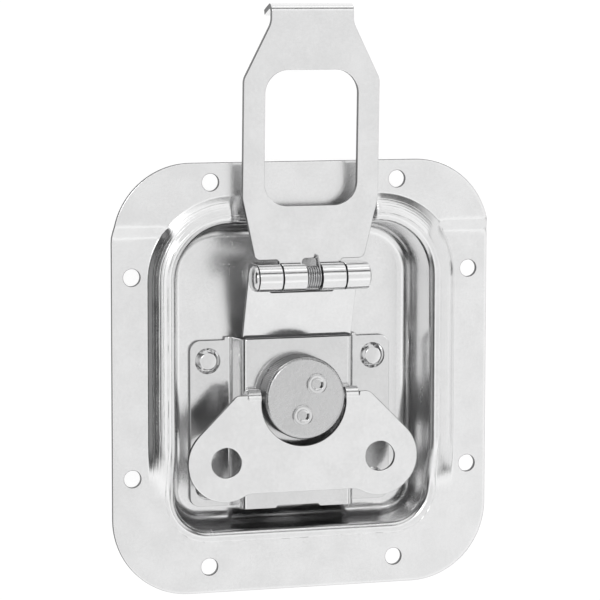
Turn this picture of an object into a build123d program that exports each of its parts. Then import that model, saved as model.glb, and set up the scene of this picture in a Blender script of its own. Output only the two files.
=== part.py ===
"""Recessed butterfly case latch: dish, bracket, turning drum with a folding wing handle,
sliding leaf and sprung hasp.  Millimetres.

X runs across the latch, Y towards the hook, Z out of the case wall.  The origin is the centre
of the four side screw holes, on the mounting face at the back of the flange.
"""
from build123d import *
from math import asin, atan2, cos, degrees, hypot, radians, sin, tan
import os

# Dish: one pressed sheet
DISH_SHEET = 1.2
FLANGE_WIDTH = 102.0
FLANGE_TOP = 55.3
FLANGE_BOTTOM = -57.1
FLANGE_CORNER = 20.5
STEP_HEIGHT = 1.5           # the hook end of the flange stands this much higher
STEP_START = 36.5
STEP_END = 39.0
PAN_HALF_WIDTH = 34.5
PAN_TOP = 39.2
PAN_BOTTOM = -41.2
PAN_DEPTH = 12.0            # front of the flange to the pan floor
PAN_DRAFT = 6.0
PAN_TOP_CORNER = 14.5
PAN_BOTTOM_CORNER = 9.5
PAN_FLOOR_FILLET = 3.6
PAN_LIP = 2.2
BEAD_HEIGHT = 3.0           # ridge round the pan's mouth: rolled crest and a straight flank
BEAD_TOP = DISH_SHEET + BEAD_HEIGHT
BEAD_FOOT = 7.2             # mouth to the flank's foot, on the lower face
BEAD_HIGH_FOOT = 7.6
BEAD_NOTCH = 17.5           # half of the gap that lets the hasp through
BEAD_FADE_START = -23.0
BEAD_FADE_END = -33.0
BEAD_FADE_TOP = 0.05
RIDGE_ROOT = 6.0

# Screw holes
HOLE_R = 2.25
SIDE_HOLE_INSET = 5.25
SIDE_HOLE_PITCH = 52.2
END_HOLE_PITCH = 50.5
TOP_HOLE_INSET = 5.05
BOTTOM_HOLE_INSET = 6.9

# Levels of the mechanism
FLANGE_FACE = DISH_SHEET
FLOOR = FLANGE_FACE - PAN_DEPTH
PLAY = 0.1                  # flat faces that slide past each other

# Bracket: a hat section riveted to the pan floor
BRACKET_SHEET = 1.2
ROOF_DEPTH = 3.7
ROOF_TOP = FLANGE_FACE - ROOF_DEPTH
ROOF_HALF_WIDTH = 15.3
FOOT_HALF_WIDTH = 16.6
EAR_HALF_WIDTH = 27.5
BRACKET_TOP = 8.6
BRACKET_BOTTOM = -36.3
EAR_SETBACK = 0.8
EAR_CORNER = 2.8
BRACKET_BEND = 1.5
END_NOTCH = (12.2, 0.65)
RIVET_SIDE_INSET = 4.78
RIVET_TOP_INSET = 6.22
RIVET_BOTTOM_INSET = 5.2
RIVET_SHANK_R = 1.9
RIVET_HEAD_R = 3.45
RIVET_DISH_R = 2.1
RIVET_HEAD = 0.9
RIVET_ROUND = 0.35
RIVET_NAMES = ("rivet_upper_left", "rivet_lower_left", "rivet_upper_right", "rivet_lower_right")

# Turning drum and cam
AXIS_Y = -6.5
DRUM_R = 10.9
DRUM_HEIGHT = 3.0
DRUM_FACE = FLANGE_FACE + DRUM_HEIGHT
DRUM_RIM = 0.9
NECK_R = 7.2
NECK_FIT = 0.06
WASHER_R = 12.0
WASHER_T = 0.25
CAM_THROW = 4.0
CAM_R = 6.0
CAM_PLATE_R = 8.4
CAM_PLATE_T = 1.5
CAM_DEPTH = 3.2
JOURNAL_R = 3.0
STUDS = ((2.95, 3.7), (-0.88, -4.43))
STUD_R = 1.6
STUD_HEAD_R = 2.8
STUD_HEAD = 0.5
STUD_EDGE = 0.3
STUD_DISH_R = 2.0           # spun dish in the head, down to a flat floor
STUD_DISH_FLOOR_R = 1.2
STUD_DISH_DEPTH = 0.9
STUD_NAMES = ("drum_stud_upper", "drum_stud_lower")

# Wing handle
HANDLE_SHEET = 1.2
HANDLE_HEIGHT = 1.6
HANDLE_FACE = FLANGE_FACE + HANDLE_HEIGHT
WING_X = 21.0
WING_Y = -22.86
WING_R = 10.3
FINGER_R = 3.95
HANDLE_TOP = -5.4
HANDLE_BOTTOM = -31.2
DRUM_CUTOUT_R = 11.5
DRUM_CUTOUT_DROP = 1.2      # centre of the cut-out, below the drum's axis
EYE_R = 2.4
EYE_INNER_X = 11.35
EYE_OUTER_X = 15.2
HANDLE_PIN_R = 1.15
HANDLE_PIN_FIT = 0.04
HANDLE_TOP_CORNER = 2.5

# Hinge
HINGE_Y = 25.85
HINGE_HEIGHT = 8.3
HINGE_Z = FLANGE_FACE + HINGE_HEIGHT
KNUCKLE_R = 3.5
HASP_SHEET = 1.5
KNUCKLE_END = 14.8
KNUCKLE_JOINT = 8.5
SPRING_GAP = 2.06
JOINT_PLAY = 0.1
PIN_FIT = 0.05
PIN_HEAD_R = 3.4
PIN_HEAD = 1.9
PIN_PEEN = 0.7
PIN_PEEN_R = 2.8
HEAD_EDGE = 0.7

# Sliding leaf
CAM_SIDE_PLAY = 0.5
LEAF_GUIDED_HALF_WIDTH = 13.6
LEAF_SLOPE = 19.4
LEAF_ROOF_PLAY = 0.2
LEAF_EXIT_Z = ROOF_TOP - BRACKET_SHEET - LEAF_ROOF_PLAY
LEAF_SHOULDER_GAP = 0.6
LEAF_SHOULDER = BRACKET_TOP + LEAF_SHOULDER_GAP
LEAF_FLAT_START = -22.5
LEAF_DEPTH = 7.5
LEAF_FLAT_FACE = FLANGE_FACE - LEAF_DEPTH
LEAF_WINDOW_SLACK = 0.95    # lets the evenly driven slide stand in for the cam's sine motion
LEAF_CUT_START = 21.2
LEAF_BEND = 1.8

# Hasp
HASP_TILT = 2.1
HASP_START = 4.4
HASP_FOOT = 14.6
HASP_WIDE = 18.2
HASP_WIDE_START = 20.3
HASP_WIDE_END = 50.8
HASP_NECK = 11.2
HASP_NECK_START = 64.0
WINDOW_HALF_WIDTH = 12.45
WINDOW_START = 18.2
WINDOW_END = 53.2
WINDOW_CORNER = 6.2
HOOK_BEND_START = 67.9
HOOK_BEND = 1.4
HOOK_ANGLE = 112.0
HOOK_LIP = 5.2
SPRING_NOTCH = 5.9
HASP_CORNERS = (1.8, 6.0, 4.0, 8.0)     # foot, start and end of the wide part, hook neck
CURL = 285.0                # how far round the pin each knuckle is rolled

# Torsion spring
WIRE_R = 0.3
COIL_PITCH = 0.62
COIL_TURNS = 5.36
COIL_R = 2.62
SPRING_LEG = 4.9

# Working sizes for the construction
SPARE = 8.0
TINY = 0.02


def pan_mouth(inset):
    """Outline of the pan's mouth, with the tighter corners at its lower end."""
    with BuildSketch() as outline:
        with Locations((0, (PAN_TOP + PAN_BOTTOM) / 2)):
            Rectangle(2 * (PAN_HALF_WIDTH + inset), PAN_TOP - PAN_BOTTOM + 2 * inset)
        fillet(outline.vertices().group_by(Axis.Y)[0], PAN_BOTTOM_CORNER + inset)
        fillet(outline.vertices().group_by(Axis.Y)[-1], PAN_TOP_CORNER + inset)
    return outline.sketch


def pan_block(inset, face):
    """A flat block with the pan sunk into it: draft, rounded floor and rolled lip."""
    floor = FLOOR - inset
    mouth = FLANGE_FACE + STEP_HEIGHT - inset
    with BuildPart() as block:
        with BuildSketch(Plane.XY.offset(face)):
            Rectangle(FLANGE_WIDTH + 2 * SPARE, FLANGE_TOP - FLANGE_BOTTOM + 4 * SPARE)
        extrude(amount=floor - SPARE - face)
        with BuildSketch(Plane.XY.offset(mouth)):
            add(pan_mouth(inset))
        extrude(amount=floor - mouth, taper=PAN_DRAFT, mode=Mode.SUBTRACT)
        fillet(block.edges().filter_by_position(Axis.Z, floor - TINY, floor + TINY),
               PAN_FLOOR_FILLET + inset)
        lip = block.edges().filter_by_position(Axis.Z, face - TINY, face + TINY)
        lip = lip.filter_by_position(Axis.X, -FLANGE_WIDTH / 2, FLANGE_WIDTH / 2)
        lip = lip.filter_by_position(Axis.Y, PAN_BOTTOM - SPARE, PAN_TOP + SPARE)
        fillet(lip, PAN_LIP - inset)
    return block.part


def ridge_section(plane, top, foot, inset):
    """Crest of the lip's radius up to the height `top`, and a flank tangent to it, down to `foot`."""
    run = foot[0] - PAN_LIP
    fall = top - PAN_LIP - foot[1]
    slope = degrees(asin(PAN_LIP / hypot(run, fall)) + atan2(fall, run))
    with BuildSketch(plane) as section:
        with BuildLine():
            crest = CenterArc((PAN_LIP, top - PAN_LIP), PAN_LIP - inset, 90 - slope, 90 + slope)
            flank = PolarLine(crest @ 0, foot[0], -slope)
            root = top - RIDGE_ROOT
            Polyline(flank @ 1, ((flank @ 1).X, root), (inset, root), crest @ 1)
        make_face()
    return section.sketch


def across(point, out):
    """Upright plane through a point of the pan's mouth, with its X away from the pan."""
    return Plane(point, x_dir=out, z_dir=out.rotate(Axis.Z, -90))


def pressed_form(inset):
    """Everything behind the surface that lies `inset` behind the front of the sheet."""
    low_face = FLANGE_FACE - inset
    high_face = low_face + STEP_HEIGHT
    low_foot = (BEAD_FOOT, FLANGE_FACE)
    high_foot = (BEAD_HIGH_FOOT, FLANGE_FACE + STEP_HEIGHT)
    corner_x = PAN_HALF_WIDTH - PAN_TOP_CORNER
    corner_y = PAN_TOP - PAN_TOP_CORNER
    # Round the corner, the flank changes its slope where its foot climbs the step
    step_turn = degrees(asin((STEP_START - corner_y) / (PAN_TOP_CORNER + BEAD_FOOT)))
    high_turn = degrees(asin((STEP_END - corner_y) / (PAN_TOP_CORNER + BEAD_HIGH_FOOT)))
    with BuildPart() as form:
        add(pan_block(inset, high_face))
        with BuildSketch(Plane.YZ):
            with BuildLine():
                far = FLANGE_TOP + 2 * SPARE
                deep = FLOOR - 2 * SPARE
                Polyline((STEP_START, low_face), (STEP_END, high_face), (far, high_face),
                         (far, deep), (STEP_START, deep), close=True)
            make_face()
        extrude(amount=FLANGE_WIDTH, both=True, mode=Mode.INTERSECT)
        add(pan_block(inset, low_face))
        for side in (-1, 1):
            out = Vector(side, 0, 0)
            start = across((side * PAN_HALF_WIDTH, BEAD_FADE_START), out)
            low = ridge_section(start, BEAD_TOP, low_foot, inset)
            with BuildLine() as run:
                Line((side * PAN_HALF_WIDTH, BEAD_FADE_START), (side * PAN_HALF_WIDTH, corner_y))
                CenterArc((side * corner_x, corner_y), PAN_TOP_CORNER, 90 - side * 90, side * step_turn)
            sweep(sections=low, path=run.line)
            with BuildLine() as climb:
                CenterArc((side * corner_x, corner_y), PAN_TOP_CORNER,
                          90 - side * (90 - step_turn), side * (high_turn - step_turn))
            step_plane = across(climb.line @ 0, out.rotate(Axis.Z, side * step_turn))
            high_plane = across(climb.line @ 1, out.rotate(Axis.Z, side * high_turn))
            high = ridge_section(high_plane, BEAD_TOP, high_foot, inset)
            sweep(sections=[ridge_section(step_plane, BEAD_TOP, low_foot, inset), high],
                  path=climb.line, multisection=True)
            with BuildLine() as top_run:
                CenterArc((side * corner_x, corner_y), PAN_TOP_CORNER,
                          90 - side * (90 - high_turn), side * (90 - high_turn))
            sweep(sections=high, path=top_run.line)
            # The bead sinks into the pan's lip at its lower end and beside the hasp
            lower_end = across((side * PAN_HALF_WIDTH, BEAD_FADE_END), out)
            loft(sections=[low, ridge_section(lower_end, low_foot[1] + BEAD_FADE_TOP, low_foot, inset)])
            turn = across((side * corner_x, PAN_TOP), Vector(0, 1, 0))
            notch = across((side * BEAD_NOTCH, PAN_TOP), Vector(0, 1, 0))
            loft(sections=[ridge_section(turn, BEAD_TOP, high_foot, inset),
                           ridge_section(notch, high_foot[1] + BEAD_FADE_TOP, high_foot, inset)])
    return form.part


def rivet_points(xs, ys):
    """The (x, y) of every rivet in the bracket."""
    return [(x, y) for x in xs for y in ys]


rivet_x = EAR_HALF_WIDTH - RIVET_SIDE_INSET
RIVET_POINTS = rivet_points((-rivet_x, rivet_x),
                            (BRACKET_TOP - RIVET_TOP_INSET, BRACKET_BOTTOM + RIVET_BOTTOM_INSET))
os.makedirs("parts", exist_ok=True)

# Dish: the sheet between two pressed surfaces, trimmed to the flange's outline
front_form = pressed_form(0)
back_form = pressed_form(DISH_SHEET)
with BuildPart() as dish:
    with BuildSketch(Plane.XY.offset(FLOOR - SPARE)):
        with Locations((0, (FLANGE_TOP + FLANGE_BOTTOM) / 2)):
            RectangleRounded(FLANGE_WIDTH, FLANGE_TOP - FLANGE_BOTTOM, FLANGE_CORNER)
    extrude(amount=BEAD_TOP + SPARE - (FLOOR - SPARE))
    add(front_form, mode=Mode.INTERSECT)
    add(back_form, mode=Mode.SUBTRACT)
    with GridLocations(FLANGE_WIDTH - 2 * SIDE_HOLE_INSET, SIDE_HOLE_PITCH, 2, 2):
        Hole(HOLE_R)
    with Locations((0, FLANGE_TOP - TOP_HOLE_INSET), (0, FLANGE_BOTTOM + BOTTOM_HOLE_INSET)):
        with GridLocations(END_HOLE_PITCH, 1, 2, 1):
            Hole(HOLE_R)
    with Locations(*RIVET_POINTS):
        Hole(RIVET_SHANK_R)
dish.part.label = "dish"

# Bracket: hat section with rounded ears, a neck hole and a notched lower edge
roof_mid = ROOF_TOP - BRACKET_SHEET / 2
ear_mid = FLOOR + BRACKET_SHEET / 2
with BuildPart() as bracket:
    with BuildSketch(Plane.XZ.offset(-BRACKET_TOP)) as hat:
        with BuildLine() as centre_line:
            wall_top = ROOF_HALF_WIDTH - BRACKET_SHEET / 2
            wall_foot = FOOT_HALF_WIDTH - BRACKET_SHEET / 2
            FilletPolyline((-EAR_HALF_WIDTH, ear_mid), (-wall_foot, ear_mid), (-wall_top, roof_mid),
                           (wall_top, roof_mid), (wall_foot, ear_mid), (EAR_HALF_WIDTH, ear_mid),
                           radius=BRACKET_BEND)
        trace(line_width=BRACKET_SHEET)
    extrude(amount=BRACKET_TOP - BRACKET_BOTTOM)
    for side in (-1, 1):
        with BuildSketch(Plane.XY.offset(FLOOR)):
            with Locations((side * EAR_HALF_WIDTH, BRACKET_TOP)):
                Rectangle(2 * (EAR_HALF_WIDTH - FOOT_HALF_WIDTH - BRACKET_BEND), 2 * EAR_SETBACK)
        extrude(amount=2 * BRACKET_SHEET, mode=Mode.SUBTRACT)
    fillet(bracket.edges().filter_by(Axis.Z).filter_by_position(
        Axis.X, -EAR_HALF_WIDTH - TINY, -EAR_HALF_WIDTH + TINY), EAR_CORNER)
    fillet(bracket.edges().filter_by(Axis.Z).filter_by_position(
        Axis.X, EAR_HALF_WIDTH - TINY, EAR_HALF_WIDTH + TINY), EAR_CORNER)
    with Locations((0, AXIS_Y, roof_mid)):
        Hole(NECK_R + NECK_FIT, depth=BRACKET_SHEET)
    with Locations((0, BRACKET_BOTTOM, ROOF_TOP)):
        Box(END_NOTCH[0], 2 * END_NOTCH[1], 2 * BRACKET_SHEET, mode=Mode.SUBTRACT)
    with Locations(*[(x, y, ear_mid) for x, y in RIVET_POINTS]):
        Hole(RIVET_SHANK_R, depth=BRACKET_SHEET)
bracket.part.label = "bracket"

# Rivets: round heads with a punched dish, tails flush under the pan
rivets = []
for name, (x, y) in zip(RIVET_NAMES, RIVET_POINTS):
    with BuildPart() as rivet:
        with BuildSketch(Plane.XZ.offset(-y)):
            with BuildLine():
                ear_face = FLOOR + BRACKET_SHEET
                pan_back = FLOOR - DISH_SHEET
                Polyline((x, pan_back), (x + RIVET_SHANK_R, pan_back), (x + RIVET_SHANK_R, ear_face),
                         (x + RIVET_HEAD_R, ear_face))
                ThreePointArc((x + RIVET_HEAD_R, ear_face),
                              (x + RIVET_HEAD_R - RIVET_ROUND, ear_face + RIVET_HEAD - RIVET_ROUND),
                              (x + RIVET_DISH_R + RIVET_ROUND, ear_face + RIVET_HEAD))
                Polyline((x + RIVET_DISH_R + RIVET_ROUND, ear_face + RIVET_HEAD),
                         (x + RIVET_DISH_R, ear_face + RIVET_ROUND),
                         (x, ear_face + RIVET_ROUND), (x, pan_back))
            make_face()
        revolve(axis=Axis((x, y, 0), (0, 0, 1)))
    rivet.part.label = name
    rivets.append(rivet.part)

# Drum: the turning head, with a bore for the handle's pin and a neck through the roof
skirt = ROOF_TOP + WASHER_T
neck_end = ROOF_TOP - BRACKET_SHEET - PLAY
pin_z = HANDLE_FACE - EYE_R
with BuildPart() as drum:
    with Locations((0, AXIS_Y, skirt)):
        Cylinder(DRUM_R, DRUM_FACE - skirt, align=(Align.CENTER, Align.CENTER, Align.MIN))
    fillet(drum.edges().group_by(Axis.Z)[-1], DRUM_RIM)
    with Locations((0, AXIS_Y, neck_end)):
        Cylinder(NECK_R, skirt - neck_end, align=(Align.CENTER, Align.CENTER, Align.MIN))
    with Locations(Plane((0, AXIS_Y, pin_z), z_dir=(1, 0, 0))):
        Cylinder(HANDLE_PIN_R + HANDLE_PIN_FIT, 2 * WASHER_R, mode=Mode.SUBTRACT)
    with Locations(*[(x, AXIS_Y + y, DRUM_FACE) for x, y in STUDS]):
        Hole(STUD_R)
drum.part.label = "drum"

# Friction washer between the drum and the roof
with BuildPart() as friction_washer:
    with BuildSketch(Plane.XY.offset(ROOF_TOP)):
        with Locations((0, AXIS_Y)):
            Circle(WASHER_R)
            Circle(NECK_R + NECK_FIT, mode=Mode.SUBTRACT)
    extrude(amount=WASHER_T)
friction_washer.part.label = "friction_washer"

# Cam: retaining plate, eccentric disc and a journal that stands on the pan floor
cam_plate_end = neck_end - CAM_PLATE_T
cam_end = cam_plate_end - CAM_DEPTH
with BuildPart() as cam:
    with BuildSketch(Plane.XY.offset(neck_end)):
        with Locations((0, AXIS_Y)):
            Circle(CAM_PLATE_R)
    extrude(amount=-CAM_PLATE_T)
    with BuildSketch(Plane.XY.offset(cam_plate_end)):
        with Locations((0, AXIS_Y - CAM_THROW)):
            Circle(CAM_R)
    extrude(amount=-CAM_DEPTH)
    with BuildSketch(Plane.XY.offset(cam_end)):
        with Locations((0, AXIS_Y)):
            Circle(JOURNAL_R)
    extrude(amount=FLOOR + PLAY / 2 - cam_end)
    with Locations(*[(x, AXIS_Y + y, neck_end) for x, y in STUDS]):
        Hole(STUD_R, depth=CAM_PLATE_T)
cam.part.label = "cam"

# Studs that rivet the drum to the cam, spun over in the drum's face
studs = []
for name, (x, dy) in zip(STUD_NAMES, STUDS):
    with BuildPart() as stud:
        with Locations((x, AXIS_Y + dy, cam_plate_end)):
            Cylinder(STUD_R, DRUM_FACE - cam_plate_end, align=(Align.CENTER, Align.CENTER, Align.MIN))
        with Locations((x, AXIS_Y + dy, DRUM_FACE)):
            Cylinder(STUD_HEAD_R, STUD_HEAD, align=(Align.CENTER, Align.CENTER, Align.MIN))
        fillet(stud.edges().group_by(Axis.Z)[-1], STUD_EDGE)
        with Locations((x, AXIS_Y + dy, DRUM_FACE + STUD_HEAD)):
            CounterSinkHole(STUD_DISH_FLOOR_R, STUD_DISH_R, depth=STUD_DISH_DEPTH)
    stud.part.label = name
    studs.append(stud.part)

# Handle: butterfly plate with finger holes, rolled at the top into two eyes
handle_back = HANDLE_FACE - HANDLE_SHEET
shoulder = WING_R * cos(radians(45))
with BuildPart() as handle:
    with BuildSketch(Plane.XY.offset(handle_back)) as wing:
        with Locations((-WING_X, WING_Y), (WING_X, WING_Y)):
            Circle(WING_R)
        with BuildLine():
            top_corner = WING_X + shoulder + WING_Y + shoulder - HANDLE_TOP
            Polyline((-top_corner, HANDLE_TOP), (top_corner, HANDLE_TOP),
                     (WING_X + shoulder, WING_Y + shoulder), (WING_X, HANDLE_BOTTOM),
                     (-WING_X, HANDLE_BOTTOM), (-WING_X - shoulder, WING_Y + shoulder), close=True)
        make_face()
        fillet(wing.vertices().group_by(Axis.Y)[-1], HANDLE_TOP_CORNER)
        with Locations((0, AXIS_Y - DRUM_CUTOUT_DROP)):
            Circle(DRUM_CUTOUT_R, mode=Mode.SUBTRACT)
        with Locations((0, AXIS_Y)):
            Rectangle(2 * EYE_OUTER_X, EYE_R, align=(Align.CENTER, Align.MIN), mode=Mode.SUBTRACT)
        with Locations((-WING_X, WING_Y), (WING_X, WING_Y)):
            Circle(FINGER_R, mode=Mode.SUBTRACT)
    extrude(amount=HANDLE_SHEET)
    for side in (-1, 1):
        with BuildSketch(Plane.YZ.offset(side * EYE_INNER_X)):
            with Locations((AXIS_Y, pin_z)):
                Circle(EYE_R)
                Circle(HANDLE_PIN_R + HANDLE_PIN_FIT, mode=Mode.SUBTRACT)
        extrude(amount=side * (EYE_OUTER_X - EYE_INNER_X))
handle.part.label = "handle"

with BuildPart() as handle_pin:
    with BuildSketch(Plane.YZ.offset(-EYE_OUTER_X)):
        with Locations((AXIS_Y, pin_z)):
            Circle(HANDLE_PIN_R)
    extrude(amount=2 * EYE_OUTER_X)
handle_pin.part.label = "handle_pin"

# Sliding leaf: runs under the roof round the cam, slopes up and is rolled into the outer knuckles
slope = radians(LEAF_SLOPE)
leaf_mid = HASP_SHEET / 2
slope_y = BRACKET_TOP + leaf_mid * sin(slope)
slope_z = LEAF_EXIT_Z - leaf_mid * cos(slope)
flat_z = LEAF_FLAT_FACE - leaf_mid
rise_y = HINGE_Y + KNUCKLE_R - leaf_mid
with BuildPart() as leaf:
    with BuildSketch(Plane.YZ.offset(-KNUCKLE_END)):
        with BuildLine():
            FilletPolyline((LEAF_FLAT_START, flat_z),
                           (slope_y + (flat_z - slope_z) / tan(slope), flat_z),
                           (rise_y, slope_z + (rise_y - slope_y) * tan(slope)),
                           (rise_y, HINGE_Z), radius=LEAF_BEND)
            CenterArc((HINGE_Y, HINGE_Z), KNUCKLE_R - leaf_mid, 0, CURL)
        trace(line_width=HASP_SHEET)
    extrude(amount=2 * KNUCKLE_END)
    with BuildSketch(Plane.XY.offset(FLOOR)):
        with Locations((-KNUCKLE_END, LEAF_SHOULDER), (KNUCKLE_END, LEAF_SHOULDER)):
            Rectangle(2 * (KNUCKLE_END - LEAF_GUIDED_HALF_WIDTH), 2 * (LEAF_SHOULDER - LEAF_FLAT_START),
                      align=(Align.CENTER, Align.MAX))
        with Locations((0, AXIS_Y - CAM_THROW)):
            Rectangle(2 * (CAM_R + CAM_THROW + CAM_SIDE_PLAY), 2 * (CAM_R + LEAF_WINDOW_SLACK))
        with Locations((0, LEAF_CUT_START)):
            Rectangle(2 * (KNUCKLE_JOINT + JOINT_PLAY), HINGE_Y, align=(Align.CENTER, Align.MIN))
    extrude(amount=PAN_DEPTH + HINGE_Z + KNUCKLE_R, mode=Mode.SUBTRACT)
leaf.part.label = "sliding_leaf"

# Hasp: plate with a window, rolled into the inner knuckles and bent over into the hook
tilt = radians(HASP_TILT)
hasp_plane = Plane((0, HINGE_Y, HINGE_Z), x_dir=(1, 0, 0), z_dir=(0, -sin(tilt), cos(tilt)))
side_plane = Plane((0, HINGE_Y, HINGE_Z), x_dir=(0, cos(tilt), sin(tilt)), z_dir=(1, 0, 0))
knuckle_width = KNUCKLE_JOINT - JOINT_PLAY - SPRING_GAP
with BuildPart() as hasp:
    with BuildSketch(hasp_plane.offset(-KNUCKLE_R)) as plate:
        with BuildLine() as edge:
            FilletPolyline((0, HASP_START), (HASP_FOOT, HASP_START), (HASP_WIDE, HASP_WIDE_START),
                           (HASP_WIDE, HASP_WIDE_END), (HASP_NECK, HASP_NECK_START),
                           (HASP_NECK, HOOK_BEND_START), (0, HOOK_BEND_START),
                           radius=(*HASP_CORNERS, TINY))
            mirror(about=Plane.YZ)
        make_face()
        with Locations((0, (WINDOW_START + WINDOW_END) / 2)):
            RectangleRounded(2 * WINDOW_HALF_WIDTH, WINDOW_END - WINDOW_START, WINDOW_CORNER,
                             mode=Mode.SUBTRACT)
        with Locations((SPRING_GAP, 0), (-SPRING_GAP - knuckle_width, 0)):
            Rectangle(knuckle_width, HASP_START + HASP_CORNERS[0], align=(Align.MIN, Align.MIN))
        Rectangle(2 * SPRING_GAP, 2 * SPRING_NOTCH, mode=Mode.SUBTRACT)
    extrude(amount=HASP_SHEET)
    for start in (SPRING_GAP, -SPRING_GAP - knuckle_width):
        with BuildSketch(side_plane.offset(start)):
            with BuildLine():
                CenterArc((0, 0), KNUCKLE_R - leaf_mid, 270, -CURL)
            trace(line_width=HASP_SHEET)
        extrude(amount=knuckle_width)
    with BuildSketch(side_plane.offset(-HASP_NECK)):
        with BuildLine():
            lead = Line((HASP_NECK_START, leaf_mid - KNUCKLE_R), (HOOK_BEND_START, leaf_mid - KNUCKLE_R))
            bend = JernArc(lead @ 1, (1, 0), HOOK_BEND, -HOOK_ANGLE)
            PolarLine(bend @ 1, HOOK_LIP, -HOOK_ANGLE)
        trace(line_width=HASP_SHEET)
    extrude(amount=2 * HASP_NECK)
hasp.part.label = "hasp"

# Hinge pin: domed head on the left, peened over on the right
pin_r = KNUCKLE_R - HASP_SHEET - PIN_FIT
with BuildPart() as hinge_pin:
    with BuildSketch(Plane((0, HINGE_Y, HINGE_Z), x_dir=(1, 0, 0), z_dir=(0, -1, 0))):
        with BuildLine():
            head_start = -KNUCKLE_END - TINY
            Polyline((-KNUCKLE_END - PIN_HEAD, 0), (head_start - HEAD_EDGE, PIN_HEAD_R),
                     (head_start, PIN_HEAD_R), (head_start, pin_r), (KNUCKLE_END + TINY, pin_r),
                     (KNUCKLE_END + TINY, PIN_PEEN_R), (KNUCKLE_END + PIN_PEEN, pin_r),
                     (KNUCKLE_END + PIN_PEEN, 0), close=True)
        make_face()
    revolve(axis=Axis((0, HINGE_Y, HINGE_Z), (1, 0, 0)))
hinge_pin.part.label = "hinge_pin"

# Torsion spring: a close helix between the inner knuckles, one leg in the hasp's notch
coil_length = COIL_PITCH * COIL_TURNS
coil_plane = Plane((-coil_length / 2, HINGE_Y, HINGE_Z), x_dir=(0, -1, 0), z_dir=(1, 0, 0))
coil = coil_plane * Helix(COIL_PITCH, coil_length, COIL_R, lefthand=True)
wire_start = coil % 0
wire_end = coil % 1
leaf_leg = Plane(coil @ 0, z_dir=(0, -wire_start.Y, -wire_start.Z))
hasp_leg = Plane(coil @ 1, z_dir=(0, wire_end.Y, wire_end.Z))
with BuildPart() as hinge_spring:
    with BuildSketch(Plane(coil @ 0, z_dir=wire_start)):
        Circle(WIRE_R)
    sweep(path=coil)
    with Locations(leaf_leg.offset(-WIRE_R), hasp_leg.offset(-WIRE_R)):
        Cylinder(WIRE_R, WIRE_R + SPRING_LEG, align=(Align.CENTER, Align.CENTER, Align.MIN))
hinge_spring.part.label = "hinge_spring"

for piece in (dish, bracket, drum, friction_washer, cam, handle, handle_pin, leaf, hasp, hinge_pin,
              hinge_spring):
    export_step(piece.part, f"parts/{piece.part.label}.step")
for piece in (*rivets, *studs):
    export_step(piece, f"parts/{piece.label}.step")
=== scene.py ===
import math

import bmesh
import bpy
import numpy as np
from mathutils import Matrix, Vector, noise


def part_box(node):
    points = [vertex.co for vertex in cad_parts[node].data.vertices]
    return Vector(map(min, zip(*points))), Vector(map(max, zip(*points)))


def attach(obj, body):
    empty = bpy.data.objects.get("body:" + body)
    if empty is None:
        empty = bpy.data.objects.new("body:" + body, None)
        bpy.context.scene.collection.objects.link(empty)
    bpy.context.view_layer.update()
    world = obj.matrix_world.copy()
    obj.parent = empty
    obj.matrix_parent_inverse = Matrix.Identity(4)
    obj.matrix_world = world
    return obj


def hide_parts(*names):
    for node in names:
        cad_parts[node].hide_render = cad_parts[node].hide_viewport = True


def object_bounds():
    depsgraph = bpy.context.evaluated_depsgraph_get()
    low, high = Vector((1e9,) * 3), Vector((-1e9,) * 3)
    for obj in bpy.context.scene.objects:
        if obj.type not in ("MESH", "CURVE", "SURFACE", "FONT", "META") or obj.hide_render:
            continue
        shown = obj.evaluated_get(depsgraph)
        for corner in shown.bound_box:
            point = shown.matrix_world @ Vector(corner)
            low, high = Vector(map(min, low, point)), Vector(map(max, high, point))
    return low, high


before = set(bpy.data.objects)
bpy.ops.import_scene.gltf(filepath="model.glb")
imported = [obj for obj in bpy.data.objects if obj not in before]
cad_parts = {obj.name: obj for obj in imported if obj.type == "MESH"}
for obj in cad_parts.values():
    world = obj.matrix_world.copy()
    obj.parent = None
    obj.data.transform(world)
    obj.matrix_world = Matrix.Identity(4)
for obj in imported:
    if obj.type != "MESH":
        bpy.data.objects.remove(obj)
cad_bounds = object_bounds()

bl_info = {
    "name": "Butterfly Case Latch",
    "version": (1, 0, 0),
    "blender": (4, 5, 0),
    "location": "3D View > Sidebar > Case Latch",
    "description": "Dresses the packed frame of a recessed butterfly latch in zinc plated steel",
    "category": "Object",
}

MM = 0.001
ARC_STEP = math.radians(5)  # longest step of an arc in an outline or a bend
FULL_TURN = 2 * math.pi
DULL_SHADED_EDGES = 1                 # material slot of cut edges, dull and darkened with painted shade
ROUND_STEPS = 64
TURNED_STEPS = 128
HOLE_STEPS = 72
FLAT_SHARP = 12             # degrees between faces past which a folded plate shows an edge
TURNED_SHARP = 38
KNURL_SHARP = 50
WIRE_SHARP = 60
UP_SHARE = 0.3              # a face whose normal rises less than this is a cut edge
PLAY = 0.02                 # by which a shape stands clear of a face that it would otherwise share
SNUG = 0.03                 # gap round a piece that fits closely


# ---------------------------------------------------------------- settings

def length_setting(name, default, description):
    """A size in millimetres."""
    return bpy.props.FloatProperty(name=name, default=default, description=description, precision=3)


def angle_setting(name, default, description):
    """An angle given in degrees."""
    return bpy.props.FloatProperty(name=name, default=math.radians(default), description=description,
                                   subtype="ANGLE")


def colour_setting(name, default, description):
    """A linear base colour."""
    return bpy.props.FloatVectorProperty(name=name, default=default, description=description,
                                         subtype="COLOR", size=3, min=0, max=1)


def factor_setting(name, default, description):
    """A plain factor."""
    return bpy.props.FloatProperty(name=name, default=default, description=description, min=0)


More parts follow.
